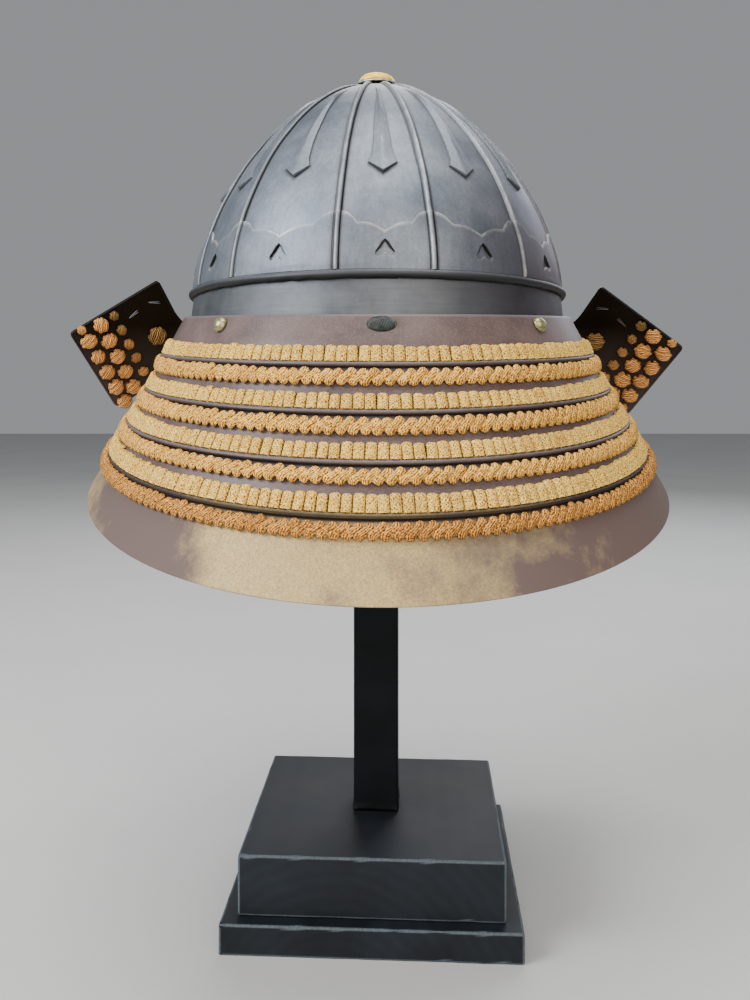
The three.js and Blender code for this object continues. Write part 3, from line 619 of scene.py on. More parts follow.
radius, foot, top = BOSS.values()
dome = [(radius * math.cos(e) ** 0.8, foot + (top - foot) * math.sin(e))
        for e in np.radians([4, 10, 18, 28, 40, 52, 64, 76, 84])]
profile = [(0, foot), (radius - 0.5, foot), *dome, (0, top)]
points, faces = turned_piece(profile, 72, lambda r, t: 0.012 * math.sin(3 * t + 1) + 0.008 * math.sin(7 * t))
add_piece("crown_boss_gilt", points, faces, gilt_copper, ["crown_boss"])


# --- Rim bead and waist band under the bowl -----------------------------------------------------------
# A half-round iron bead is sprung round the foot of the bowl, knocked out of true in places. Below it a
# plain band of sheet iron stands upright; the neck guard is riveted to its foot.
WHOLE_RING = np.radians(np.arange(0, 360, 1.5))
UP = np.array([0, 0, 1])
BEAD = [(104.2, 349.8), (105.2, 350.1), (106.6, 350.1), (107.7, 349.6), (108.3, 348.8), (108.5, 347.9),
        (108.3, 347.0), (107.7, 346.2), (106.8, 345.8), (105.2, 345.8), (104.0, 345.9), (103.6, 347.8)]
# The bead's top is painted paler, partly wear and partly a painted highlight; its lower half is painted dark
# as shade.
BEAD_WEAR_AND_HIGHLIGHT = [0.6, 0.95, 0.4, 0, 0, 0, 0, 0, 0, 0, 0, 0]
BEAD_PAINTED_SHADE = [0.4, 0, 0.3, 0.62, 0.8, 0.95, 1, 1, 1, 1, 1, 1]
LIP = {"under": 346.5, "wander": 0.35, "dent": 0.9, "dent_at": math.radians(335), "dent_reach": 0.14}
BAND = {"top_half": 105.6, "top": 345.5, "foot_half": 108.6, "foot": 318.0, "sheet": 2.0, "rows": 13}


def swept(section, angles, closed=True):
    """Skins a closed section along the ring; section(angles) gives its points at every angle."""
    points = section(angles)
    count, size = points.shape[:2]
    faces = skin(count, size, closed=closed)
    if not closed:
        for start in (0, (count - 1) * size):
            for i in range(size // 2 - 1):
                faces.append((start + i, start + i + 1, start + size - 2 - i, start + size - 1 - i))
    return points.reshape(-1, 3), faces


def bead_section(angles):
    """The bead wanders a little all round, and its lower lip is dented on the left of the back."""
    rings = []
    at_dent = LIP["dent"] * np.exp(-((angles - LIP["dent_at"]) / LIP["dent_reach"]) ** 2)
    for a, z in BEAD:
        base = on_ring(a, angles, z)
        knocks = (LIP["wander"] * rough(base, 9, 2) + at_dent * rough(base, 3.5, 2)) * (z < LIP["under"])
        rings.append(base + UP * (knocks + 0.22 * rough(base, 20))[:, None])
    return tilted(np.stack(rings, axis=1))


points, faces = swept(bead_section, WHOLE_RING)
marks = {"wear": np.tile(BEAD_WEAR_AND_HIGHLIGHT, len(WHOLE_RING)), "grime": np.tile(BEAD_PAINTED_SHADE, len(WHOLE_RING))}
add_piece("rim_bead_iron", points, faces, russet_iron, ["rim_bead"], marks=marks)

band_iron, node, finish, place = start_material("browned band iron")
# Plain rolled sheet, browned and waxed: duller and darker than the bowl, scored by faint level arcs.
cloudy = node("TexNoise", {"Vector": place, "Scale": 30.0, "Detail": 6.0, "Roughness": 0.65})
round_about = node("Mapping", {"Vector": place, "Scale": (0.05, 0.05, 1)})
scores = node("TexNoise", {"Vector": round_about, "Scale": 700.0, "Detail": 3.0, "Roughness": 0.7})
grit = node("TexNoise", {"Vector": place, "Scale": 1100.0, "Detail": 3.0, "Roughness": 0.7})
patina = node("ValToRGB", [cloudy], [(0.3, "41454a"), (0.52, "55595e"), (0.75, "65696c")])
score_shade = node("MapRange", [scores, 0.35, 0.75, 0.9, 1.12])
scored = node("Mix", {0: 1.0, 6: patina, 7: score_shade}, **SHADE)
sides = node("SeparateXYZ", [place]).outputs
rightward = node("MapRange", [sides["X"], 0, 0.1, 0, 0.75])
browned = node("Mix", {0: rightward, 6: scored, 7: "41383e"}, **TINT)
gloss = node("MapRange", [cloudy, 0, 1, 0.4, 0.6])
fine = node("Math", [grit, scores], operation="ADD")
bump = node("Bump", {"Height": fine, "Strength": 0.15, "Distance": 0.0003})
finish(Base_Color=browned, Roughness=gloss, Normal=bump, Metallic=0.7)


def band_section(angles):
    skins = (0, BAND["sheet"])
    tops = [tilted(on_ring(BAND["top_half"] - depth, angles, BAND["top"])) for depth in skins]
    feet = [on_ring(BAND["foot_half"] - depth, angles, BAND["foot"]) for depth in skins]
    parts = np.linspace(0, 1, BAND["rows"])
    outer = [tops[0] + (feet[0] - tops[0]) * part for part in parts]
    inner = [feet[1] + (tops[1] - feet[1]) * part for part in parts]
    around = on_ring(1.0, angles, 0)
    outer = [ring + around * (0.25 * rough(ring, 30, 2))[:, None] for ring in outer]
    return np.stack(outer + inner, axis=1)


points, faces = swept(band_section, WHOLE_RING)
add_piece("waist_band_iron", points, faces, band_iron, ["waist_band"])


# --- Neck guard: five lacquered lames -----------------------------------------------------------------
# Each lame is one strip of iron sheet bent to the ring, its upper edge thickened into a round rim, and
# coated with many layers of lacquer. The first is plain at the top; the last flares out and is gilded.
GUARD_TOP = 328.2
SHEET = 1.8
SIDE_ANGLE = math.radians(75)
LAMES = [
    {"end": 124, "face": [(110.9, 328.2), (117.8, 314), (120.6, 305.5), (121.2, 300.5)]},
    {"end": 119, "rim": (124.2, 304.7),
     "face": [(123.2, 303), (124.2, 296.6), (129.6, 285.6), (130.3, 278.5)]},
    {"end": 115, "rim": (133, 283.2), "face": [(132, 281.4), (133.6, 275.2), (139.4, 264.4), (140.3, 257)]},
    {"end": 111, "rim": (143, 261.6), "face": [(142, 259.8), (143.8, 254.2), (149.1, 242.6), (150, 235)]},
    {"end": 107, "rim": (152.7, 239.7), "face": [(151.8, 237.8), (153.4, 231.6), (163.1, 204.3)], "hem": 3.2},
]
RIM_ARC = [(-2.2, 1.2), (-1.6, 1.35), (-1.0, 1.2), (-0.45, 0.75), (-0.2, 0.1), (-0.3, -0.5), (-0.6, -1.0),
           (-0.9, -1.5)]
PLAIN_EDGE = [(-SHEET, 0.05), (-1.3, 0.35), (-0.5, 0.3)]
LAST = len(LAMES) - 1


def on_guard(a, t, z):
    """A point of the guard: its rings rise towards the sides and front, the lower ones more."""
    down = GUARD_TOP - z
    lift = 2.8 + 0.07 * down + 0.001 * down * down
    return on_ring(a, t, z + lift * (1 - np.cos(t)) / (1 - math.cos(SIDE_ANGLE)))


def face_at(lame, z):
    """Half width of a lame's outer face at a height."""
    widths, heights = zip(*reversed(lame["face"]))
    return float(np.interp(z, heights, widths))


def in_steps(line, step, least):
    """A line of points cut into even steps about a step long, at least so many between two points."""
    fine = [np.array(line[0], float)]
    for start, end in zip(np.array(line[:-1], float), np.array(line[1:], float)):
        count = max(least, round(float(np.linalg.norm(end - start)) / step))
        fine += [start + (end - start) * i / count for i in range(1, count + 1)]
    return np.array(fine)


def lame_profile(lame):
    """A lame's closed section: rim and outer face down, rounded foot, inner face up."""
    face = in_steps(lame["face"], 1.5, 2)
    for _ in range(4):
        face[1:-1] = (face[:-2] + 2 * face[1:-1] + face[2:]) / 4
    ends = (lame["face"][-1][1], lame["face"][-2][1])
    thickness = np.interp(face[:, 1], ends, (lame.get("hem", SHEET), SHEET))
    inner = (face - np.stack([thickness, np.zeros(len(face))], axis=1))[::-1]
    head = np.array(lame["rim"]) + RIM_ARC if "rim" in lame else face[0] + PLAIN_EDGE
    foot = face[-1] + [(-0.3, -0.4), (-1.4, -0.4)]
    return np.concatenate([head, face, foot, inner])


brown_lacquer, node, finish, place = start_material("purple-brown lacquer")
# Brushed lacquer tinted with iron and red earth: a smooth satin coat, slightly orange-peeled, dusty in
# places, paler along the top of the rims, partly rubbed and partly painted highlight, and with painted shade
# where the rims turn under.
cloudy = node("TexNoise", {"Vector": place, "Scale": 45.0, "Detail": 5.0, "Roughness": 0.6})
dust = node("TexNoise", {"Vector": place, "Scale": 1200.0, "Detail": 2.0, "Roughness": 0.7})
coat = node("ValToRGB", [cloudy], [(0.3, "403232"), (0.52, "50403e"), (0.75, "5d4e4b")])
dusty = node("MapRange", [dust, 0.45, 0.75, 0, 0.22])
powdered = node("Mix", {0: dusty, 6: coat, 7: "90867f"}, **TINT)
worn_and_lit = node("Attribute", attribute_name="wear").outputs["Fac"]
dark = node("Attribute", attribute_name="shade").outputs["Fac"]
# Painted highlight and wear on top of the rims, then painted shade where they turn under.
rim_wear_and_highlight = node("Mix", {0: worn_and_lit, 6: powdered, 7: "5e575d"}, **TINT)
shaded = node("Mix", {0: dark, 6: rim_wear_and_highlight, 7: "171211"}, **TINT)
gloss = node("MapRange", [cloudy, 0, 1, 0.42, 0.6])
bump = node("Bump", {"Height": dust, "Strength": 0.1, "Distance": 0.0002})
finish(Base_Color=shaded, Roughness=gloss, Normal=bump, Coat_Weight=0.12, Coat_Roughness=0.3,
       Specular_IOR_Level=0.34)

gold_lacquer, node, finish, place = start_material("worn gold lacquer")
# Gold powder dusted on wet lacquer and rubbed away by handling: mottled olive gold where it is left, bare
# purple-brown lacquer where it is gone, mostly on the +X side and in patches at the other end.
patches = node("TexNoise", {"Vector": place, "Scale": 26.0, "Detail": 7.0, "Roughness": 0.68})
powder = node("TexNoise", {"Vector": place, "Scale": 1000.0, "Detail": 4.0, "Roughness": 0.8})
sides = node("SeparateXYZ", [place]).outputs
rightward = node("MapRange", [sides["X"], 0, 0.13, 0, 0.42])
leftward = node("MapRange", [sides["X"], -0.075, -0.11, 0, 0.5])
at_end = node("MapRange", [sides["X"], -0.125, -0.155, 0, 0.45])
one_patch = node("Math", [leftward, at_end], operation="SUBTRACT")
both_ends = node("Math", [rightward, one_patch], operation="ADD")
loss = node("Math", [patches, both_ends], operation="ADD")
gold = node("ValToRGB", [powder], [(0.3, "85734d"), (0.5, "a59065"), (0.7, "bdaa81")])
bare = node("MapRange", [loss, 0.48, 0.78])
coated = node("Mix", {0: bare, 6: gold, 7: "5b4d49"}, **TINT)
dark = node("Attribute", attribute_name="shade").outputs["Fac"]
shaded = node("Mix", {0: dark, 6: coated, 7: "1e1712"}, **TINT)
gloss = node("MapRange", [bare, 0, 1, 0.6, 0.68])
shine = node("MapRange", [bare, 0, 1, 0.25, 0])
bump = node("Bump", {"Height": powder, "Strength": 0.2, "Distance": 0.0003})
finish(Base_Color=shaded, Roughness=gloss, Normal=bump, Metallic=shine, Specular_IOR_Level=0.2)

for index, lame in enumerate(LAMES):
    profile = lame_profile(lame)
    end = math.radians(lame["end"])
    angles = np.linspace(-end, end, lame["end"] + 1)
    points, faces = swept(lambda t: np.stack([on_guard(a, t, z) for a, z in profile], axis=1), angles,
                          closed=False)
    # The top edge is painted paler, partly wear and partly a painted highlight, and painted shade darkens a
    # rim where it turns under; the last one is dark all over.
    wear, shade = np.zeros(len(profile)), np.zeros(len(profile))
    wear[1:4] = (0.5, 1, 0.4) if "rim" in lame else 0.8
    if "rim" in lame:
        shade[3:9] = (0.0, 0.45, 0.8, 1, 1, 1)
    if index == LAST:
        shade[:5] = (0.9, 0.8, 0.5, 0.75, 0.95)
    lacquer, slot = (gold_lacquer, "gold_lacquer") if index == LAST else (brown_lacquer, "brown_lacquer")
    marks = {"wear": np.tile(wear, len(angles)), "shade": np.tile(shade, len(angles))}
    label = f"lame_{index + 1}"
    add_piece(f"{label}_lacquered", points, faces, lacquer, [label], smooth_under=50, marks=marks)


# --- Cord hole, its cord and the rivets of the first lame ---------------------------------------------
# An oval hole in the middle of the back once held the cord that drew the guard up. A stub of dark green
# braid still fills it. Two domed brass rivets hold the guard to the band.
CORD_HOLE = {"half_width": 7.0, "half_height": 3.8, "height": 323.7, "sides": 48, "reach": 8}
STUB = {"strands": 9, "half": 4.9, "reach": 3.0, "round": 6.9, "lean": 1.5}
RIVET = {"radius": 4.15, "height": 3.2, "angle": 44.4, "z": 323.1, "stand_off": 0.45, "foot": 0.25}


def baked(piece):
    """What an object's modifiers make of its mesh, as a mesh of its own."""
    bpy.context.view_layer.update()
    mesh = bpy.data.meshes.new_from_object(piece.evaluated_get(bpy.context.evaluated_depsgraph_get()))
    piece.modifiers.clear()
    return mesh


hole_centre = on_guard(face_at(LAMES[0], CORD_HOLE["height"]), np.array(0.0), CORD_HOLE["height"])
sides = CORD_HOLE["sides"]
turns = 2 * math.pi * np.arange(sides) / sides
points = [hole_centre
          + (CORD_HOLE["half_width"] * math.cos(turn), y, CORD_HOLE["half_height"] * math.sin(turn))
          for y in (-CORD_HOLE["reach"], CORD_HOLE["reach"]) for turn in turns]
faces = [*skin(2, sides), range(sides), range(sides, 2 * sides)]
cutter = add_object("hole_cutter", new_mesh("hole_cutter", points, faces))
first_lame = bpy.data.objects["lame_1_lacquered"]
cut = first_lame.modifiers.new("cord_hole", "BOOLEAN")
cut.operation = "DIFFERENCE"
cut.solver = "EXACT"
cut.object = cutter
first_lame.data = baked(first_lame)
first_lame.data.set_sharp_from_angle(angle=math.radians(50))
bpy.data.objects.remove(cutter)


def tube(path, half_width, half_height, across, sides, taper=0.5):
    """A closed tube along a path: an ellipse whose width lies along across, tapered in at both ends."""
    path = np.array(path, float)
    along = np.gradient(path, axis=0)
    along /= np.linalg.norm(along, axis=1)[:, None]
    across = np.array(across, float)
    count = len(path)
    points, faces = [], skin(count, sides)
    for i, (centre, ahead) in enumerate(zip(path, along)):
        wide = across - ahead * (across @ ahead)
        wide /= np.linalg.norm(wide)
        high = np.cross(ahead, wide)
        swell = taper + (1 - taper) * math.sin(math.pi * i / (count - 1)) ** 0.5
        for turn in 2 * math.pi * np.arange(sides) / sides:
            off_centre = wide * half_width * math.cos(turn) + high * half_height * math.sin(turn)
            points.append(centre + swell * off_centre)
    for i, end in ((0, -1), (count - 1, 1)):
        points.append(path[i] + along[i] * end * 0.35 * half_height)
        faces += [(i * sides + s, i * sides + (s + 1) % sides, len(points) - 1) for s in range(sides)]
    return points, faces


def joined(parts):
    """Several closed shells as one list of points and one of faces."""
    points, faces = [], []
    for more_points, more_faces in parts:
        faces += [[i + len(points) for i in face] for face in more_faces]
        points += list(more_points)
    return np.array(points), faces


green_braid, node, finish, place = start_material("dark green silk braid")
# Old silk, blackened with handling: soft, nearly matt, with grey-green worn crowns on the strands.
# Twisted threads 0.5 mm apart.
threads = node("TexWave", {"Vector": place, "Scale": 320.0, "Distortion": 4.0, "Detail": 2.0},
               bands_direction="DIAGONAL").outputs["Fac"]
fade = node("TexNoise", {"Vector": place, "Scale": 300.0, "Detail": 4.0})
dyed = node("ValToRGB", [fade], [(0.3, "111613"), (0.55, "28322e"), (0.75, "4c5650")])
bump = node("Bump", {"Height": threads, "Strength": 0.5, "Distance": 0.0004})
finish(Base_Color=dyed, Roughness=0.8, Normal=bump, Sheen_Weight=0.3)

strands = []
for x in np.linspace(-STUB["half"], STUB["half"], STUB["strands"]):
    reach = STUB["reach"] * math.sqrt(1 - (x / STUB["round"]) ** 2)
    line = [hole_centre + (x + STUB["lean"] * p, -0.2 - 0.9 * (1 - p * p), reach * p)
            for p in np.linspace(-1, 1, 7)]
    strands.append(tube(line, 0.95, 0.75, (1, 0, 0), 8))
core = [hole_centre + (x, 0.5, 0) for x in np.linspace(-6.2, 6.2, 12)]
strands.append(tube(core, 3.0, 1.2, (0, 0, 1), 12, taper=0.6))
points, faces = joined(strands)
add_piece("centre_cord_braid", points, faces, green_braid, ["centre_cord"])

dark_brass, node, finish, place = start_material("darkened brass")
# Cast brass domes gone olive with age, rubbed bright on the crown where cloths pass over them.
tarnish = node("TexNoise", {"Vector": place, "Scale": 500.0, "Detail": 4.0})
metal = node("ValToRGB", [tarnish], [(0.3, "6b6844"), (0.6, "a09b70"), (0.8, "cfcba8")])
bump = node("Bump", {"Height": tarnish, "Strength": 0.2, "Distance": 0.0003})
finish(Base_Color=metal, Roughness=0.3, Normal=bump, Metallic=0.6)

radius, foot = RIVET["radius"], RIVET["foot"]
dome = [(radius * math.cos(e), foot + RIVET["height"] * math.sin(e))
        for e in np.radians([0, 12, 26, 40, 54, 68, 80])]
profile = [(0, 0), (radius - 0.1, 0), *dome, (0, foot + RIVET["height"])]
for side, label in ((-1, "left"), (1, "right")):
    angle = np.array(side * math.radians(RIVET["angle"]))
    half, z = face_at(LAMES[0], RIVET["z"]), RIVET["z"]
    seat = on_guard(half, angle, z)
    above = on_guard(face_at(LAMES[0], z + 2), angle, z + 2)
    beside = on_guard(half, angle + 0.01, z)
    outward = Vector(beside - seat).cross(Vector(above - seat)).normalized()
    points, faces = turned_piece(profile, 32, lambda r, t: 0.02 * math.sin(2 * t + side))
    stand = Vector((0, 0, 1)).rotation_difference(outward).to_matrix()
    points = np.array([stand @ Vector(p) for p in points]) + seat + np.array(outward) * RIVET["stand_off"]
    add_piece(f"rivet_{label}_brass", points, faces, dark_brass, [f"rivet_{label}"])


# --- Upright lacing: flat braided cords side by side --------------------------------------------------
# Flat hemp-coloured silk braids come out of holes in the lower half of each lame, turn down over its face
# and pass behind the next lame's rim. Hundreds of them stand shoulder to shoulder in each row.
LACING = [(313.7, 306.4), (292, 284.9), (270.7, 263.3), (249.5, 241.4)]  # top and bottom of the rows, mm
CORD = {"pitch": 5.4, "width": 5.5, "thickness": 2.7, "hidden_foot": 0.8}
CORD_LEVELS = [0.0, 0.22, 0.5, 0.74, 0.88, 0.96, 1.0]
CORD_COLUMNS = 6
OFF_FACE = 0.35
BRAID = {"pitch": 1.15, "turn": 0.75}  # stitches in mm, and their slant in radians


def ridges(node, place, across, pitch, waver, scale, detail=2.0):
    """Wavering ridges a pitch apart, from the distance across the threads in millimetres."""
    wobble = node("TexNoise", {"Vector": place, "Scale": scale, "Detail": detail})
    wavered = node("Math", [wobble, waver, across], operation="MULTIPLY_ADD")
    phase = node("Math", [wavered, 2 * math.pi / pitch], operation="MULTIPLY")
    return node("Math", [phase], operation="SINE")


def fuzzed(node, place, ridge, low, high, grain, lowered, scale=1200.0, roughness=0.6):
    """Depth of a cord's surface. Grains of 0.8 mm stand for the fuzz of threads too fine to be seen."""
    height = node("MapRange", [ridge, -1, 1, low, high])
    fuzz = node("TexNoise", {"Vector": place, "Scale": scale, "Detail": 2.0, "Roughness": roughness})
    loose = node("Math", [fuzz, grain, -lowered], operation="MULTIPLY_ADD")
    return node("Math", [height, loose], operation="ADD")


def shaded_and_aged(node, place, depth, stops, tones, soil_from, soil_colour):
    """Colour by depth, from painted shade in the creases to painted highlight on the crowns, a little lighter
    or darker on each cord, and soiled in blotches.
    """
    thread = node("ValToRGB", [depth], stops)
    tone = node("Attribute", attribute_name="tone").outputs["Fac"]
    tone_shade = node("MapRange", [tone, 0, 1, *tones])
    toned = node("Mix", {0: 1.0, 6: thread, 7: tone_shade}, **SHADE)
    soil = node("TexNoise", {"Vector": place, "Scale": 60.0, "Detail": 4.0})
    shaded_soiled = node("MapRange", [soil, soil_from, 0.75, 0, 0.5])
    return node("Mix", {0: shaded_soiled, 6: toned, 7: soil_colour}, **TINT)


hemp_braid, node, finish, place = start_material("undyed silk braid")
# Each cord is a flat hand braid of fine threads: stitches cross in both directions and shadow each other;
# colour follows depth, from painted shade in warm brown in the creases to painted highlight in cream on the
# crowns. The UV is in mm across and along a cord.
flat = node("SeparateXYZ", [node("UVMap", uv_map="UVMap")]).outputs
crossing = []
for way in (1, -1):
    lean = node("Math", [flat["X"], way * math.cos(BRAID["turn"])], operation="MULTIPLY")
    rise = node("Math", [flat["Y"], math.sin(BRAID["turn"]), lean], operation="MULTIPLY_ADD")
    crossing.append(ridges(node, place, rise, BRAID["pitch"], 2.2 * BRAID["pitch"], 500.0, 3.0))
stitches = node("Math", crossing, operation="MAXIMUM")
depth = fuzzed(node, place, stitches, 0.25, 1, 2.6, 1.35)
cream = [(0.05, "8a5012"), (0.4, "eb9c34"), (0.65, "ffc650"), (0.95, "ffe688")]
shaded_soiled = shaded_and_aged(node, place, depth, cream, (0.9, 1.04), 0.55, "c08748")
# Light dies in the seams between neighbouring cords.
from_middle = node("Math", [flat["X"]], operation="ABSOLUTE")
seam = node("MapRange", [from_middle, 2.1, 2.62, 0, 0.95])
seamed = node("Mix", {0: seam, 6: shaded_soiled, 7: "52300e"}, **TINT)
bump = node("Bump", {"Height": depth, "Strength": 1.0, "Distance": 0.0009})
finish(Base_Color=seamed, Roughness=0.9, Normal=bump, Specular_IOR_Level=0.1)


def upright_cord():
    """One flat cord: a pillow that curls in at its top, is cut level below, and is closed behind."""
    width, rows = CORD_COLUMNS + 1, len(CORD_LEVELS) - 1
    points, uv = [], []
    for v in CORD_LEVELS:
        curl = math.sqrt(max(0.0, 1 - (max(0.0, v - 0.7) / 0.3) ** 2))
        for u in np.linspace(-1, 1, width):
            crown = (1 - abs(u) ** 3) ** 0.5
            x = u * CORD["width"] / 2 * (1 - 0.16 * (1 - curl) ** 1.5)
            y = -CORD["thickness"] * (0.12 + 0.88 * crown) * (0.25 + 0.75 * curl)
            points.append((x, y, v - 0.1 * abs(u) ** 3 * (v > 0.9)))
            uv.append((x, v * 8))
    # The back repeats the front's outline, flat against the lame.
    top = rows * width
    outline = [*range(width), *[r * width + CORD_COLUMNS for r in range(1, rows + 1)],
               *range(top + CORD_COLUMNS - 1, top - 1, -1), *[r * width for r in range(rows - 1, 0, -1)]]
    count, size = len(points), len(outline)
    points += [(points[i][0], 0.0, points[i][2]) for i in outline]
    uv += [uv[i] for i in outline]
    faces = skin(rows + 1, width, around=False)
    for i in range(size):
        faces.append((outline[i], outline[(i + 1) % size], count + (i + 1) % size, count + i))
    faces.append(range(count, count + size))
    return points, faces, uv


def unit_object(name, points, faces, uv):
    """A unit in its own axes for a node tree to repeat: +X along the row and +Z up, or off the plate."""
    mesh = new_mesh(name, points, faces, uv)
    mesh.shade_smooth()
    return add_object(name, mesh)


def node_group(name, sockets):
    """An empty node tree that takes and gives geometry, with named inputs, and a way to add nodes."""
    tree = bpy.data.node_groups.new(name, "GeometryNodeTree")
    for label, kind in [("Geometry", "Geometry"), *sockets]:
        tree.interface.new_socket(label, in_out="INPUT", socket_type=f"NodeSocket{kind}")
    tree.interface.new_socket("Geometry", in_out="OUTPUT", socket_type="NodeSocketGeometry")
    node = partial(add_node, tree)
    return tree, node, node("NodeGroupInput").outputs


def upright_rotation(node, ahead, up):
    """Turns a unit's X axis ahead and its Z axis up."""
    along = node("FunctionNodeAlignRotationToVector", {"Vector": ahead}, axis="X")
    return node("FunctionNodeAlignRotationToVector", {"Rotation": along, "Vector": up}, axis="Z",
                pivot_axis="X")


def close_group(node, instances, material):
    real = node("GeometryNodeRealizeInstances", [instances])
    coated = node("GeometryNodeSetMaterial", {"Geometry": real, "Material": material})
    node("NodeGroupOutput", [coated])


def row_tree():
    """Repeats a unit along a guide line on the lame, upright and facing out, each a little different."""
    tree, node, given = node_group("cord_row", [
        ("Unit", "Object"), ("Pitch", "Float"), ("Height", "Float"), ("Unevenness", "Float"),
        ("Lean", "Float"),
        ("Left width", "Float"), ("Right width", "Float"), ("Seed", "Int"), ("Material", "Material")])
    line = node("GeometryNodeMeshToCurve", {"Mesh": given["Geometry"]})
    spaced = node("GeometryNodeResampleCurve", {"Curve": line, "Length": given["Pitch"]}, mode="LENGTH")
    up = node("GeometryNodeInputNamedAttribute", {"Name": "up"}, data_type="FLOAT_VECTOR")
    upright = upright_rotation(node, node("GeometryNodeInputTangent"), up)
    unit = node("GeometryNodeObjectInfo", {"Object": given["Unit"]},
                transform_space="ORIGINAL").outputs["Geometry"]
    placed = node("GeometryNodeInstanceOnPoints", {"Points": spaced, "Instance": unit, "Rotation": upright})
    least = node("Math", [1.0, given["Unevenness"]], operation="SUBTRACT")
    most = node("Math", [1.0, given["Unevenness"]], operation="ADD")
    low = node("CombineXYZ", [least] * 3)
    high = node("CombineXYZ", [most] * 3)
    vary = node("FunctionNodeRandomValue", {0: low, 1: high, "Seed": given["Seed"]}, data_type="FLOAT_VECTOR")
    spot = node("SeparateXYZ", [node("GeometryNodeInputPosition")]).outputs
    width = node("MapRange", [spot["X"], -0.08, 0.05, given["Left width"], given["Right width"]])
    size = node("CombineXYZ", [width, 1.0, given["Height"]])
    scale = node("VectorMath", [vary, size], operation="MULTIPLY")
    scaled = node("GeometryNodeScaleInstances", {"Instances": placed, "Scale": scale})
    least_lean = node("Math", [given["Lean"], -1.0], operation="MULTIPLY")
    index = node("GeometryNodeInputIndex")
    lean = node("FunctionNodeRandomValue",
                {2: least_lean, 3: given["Lean"], "Seed": given["Seed"], "ID": index},
                data_type="FLOAT")
    turned = node("GeometryNodeRotateInstances",
                  {"Instances": scaled, "Rotation": node("CombineXYZ", {1: lean})})
    tone = node("FunctionNodeRandomValue", {"Seed": given["Seed"]}, data_type="FLOAT")
    toned = node("GeometryNodeStoreNamedAttribute", {"Geometry": turned, "Name": "tone", "Value": tone},
                 data_type="FLOAT", domain="INSTANCE")
    close_group(node, toned, given["Material"])
    return tree


def grow(name, points, edges, marks, tree, slot, replaced, smooth_under, **values):
    """Gives a guide of millimetre points to a node tree and makes a plain piece of what grows on it."""
    guide = bpy.data.meshes.new(name)
    guide.from_pydata((points / 1000).tolist(), edges, [])
    for label, kind, key, numbers in marks:
        mark = guide.attributes.new(label, kind, "POINT")
        mark.data.foreach_set(key, np.asarray(numbers, np.float32).ravel())
    carrier = add_object(name, guide)
    modifier = carrier.modifiers.new("growth", "NODES")
    modifier.node_group = tree
    for item in tree.interface.items_tree:
        if item.in_out == "INPUT" and item.name in values:
            modifier[item.identifier] = values[item.name]
    mesh = baked(carrier)
    bpy.data.objects.remove(carrier)
    mesh.name = name
    return settle(name, mesh, values["Material"], replaced, smooth_under)


def cord_row(label, lame, bottom, top, reach, **values):
    """Lays one row on a lame between two heights."""
    angles = np.radians(np.arange(-reach, reach + 0.1, 1.0))
    low, high = [on_guard(face_at(lame, z) + OFF_FACE, angles, z) for z in (bottom, top)]
    up = (high - low) / np.linalg.norm(high - low, axis=1)[:, None]
    edges = [(i, i + 1) for i in range(len(angles) - 1)]
    grow(f"{label}_cords", low, edges, [("up", "FLOAT_VECTOR", "vector", up)], row_nodes, "lacing_cord",
         [label], 70,
         Height=top - bottom, **values)


cord_unit = unit_object("upright_cord_unit", *upright_cord())
row_nodes = row_tree()
for index, (top, bottom) in enumerate(LACING):
    cord_row(f"lacing_row_{index + 1}", LAMES[index], bottom - CORD["hidden_foot"], top,
             LAMES[index + 1]["end"] - 2,
             Unit=cord_unit, Pitch=CORD["pitch"] / 1000, Unevenness=0.07, Lean=0.05, Seed=3 + index,
             **{"Left width": 1.0, "Right width": 1.12}, Material=hemp_braid)
bpy.data.objects.remove(cord_unit)


# --- Rope rows: a thick twisted cord under each rim ---------------------------------------------------
# Under the rim of lames 2 to 5 two cords are plaited together, so that plump slanting lobes overlap like a
# laid rope. The lowest row is darker and redder than the others.
ROPES = [(302.9, 295.0), (281.2, 273.1), (259.6, 252.2), (237.6, 229.8)]  # top and bottom of the rows, mm
LOBE = {"pitch": 5.45, "lean": 2.9, "half_width": 2.55, "half_depth": 1.5, "rise": 1.8, "rings": 9,
        "sides": 10}
STRAND_PITCH = 1.25


def slanting_lobe():
    """One lobe: a plump bundle that rises from lower left to upper right, its ends tucked in."""
    points, uv = [], []
    rings, sides = LOBE["rings"], LOBE["sides"]
    for v in np.linspace(-1, 1, rings):
        x = LOBE["lean"] * (v + 0.35 * math.sin(math.pi * v))
        out = LOBE["rise"] * (1 - 0.42 * v * v)
        end = math.sqrt(1 - (abs(v) * 0.97) ** 3.2)
        lump = 1 - 0.1 * math.cos(math.pi * v)
        for turn in 2 * math.pi * np.arange(sides) / sides:
            wide = LOBE["half_width"] * end * lump * math.cos(turn)
            deep = LOBE["half_depth"] * (0.3 + 0.7 * end) * math.sin(turn)
            points.append((x + wide, -out - deep, 0.5 + 0.5 * v - 0.05 * wide))
            uv.append((wide * 1.15, v * 4.5))
    last = (rings - 1) * sides
    return points, [*skin(rings, sides), range(sides), range(last, last + sides)], uv


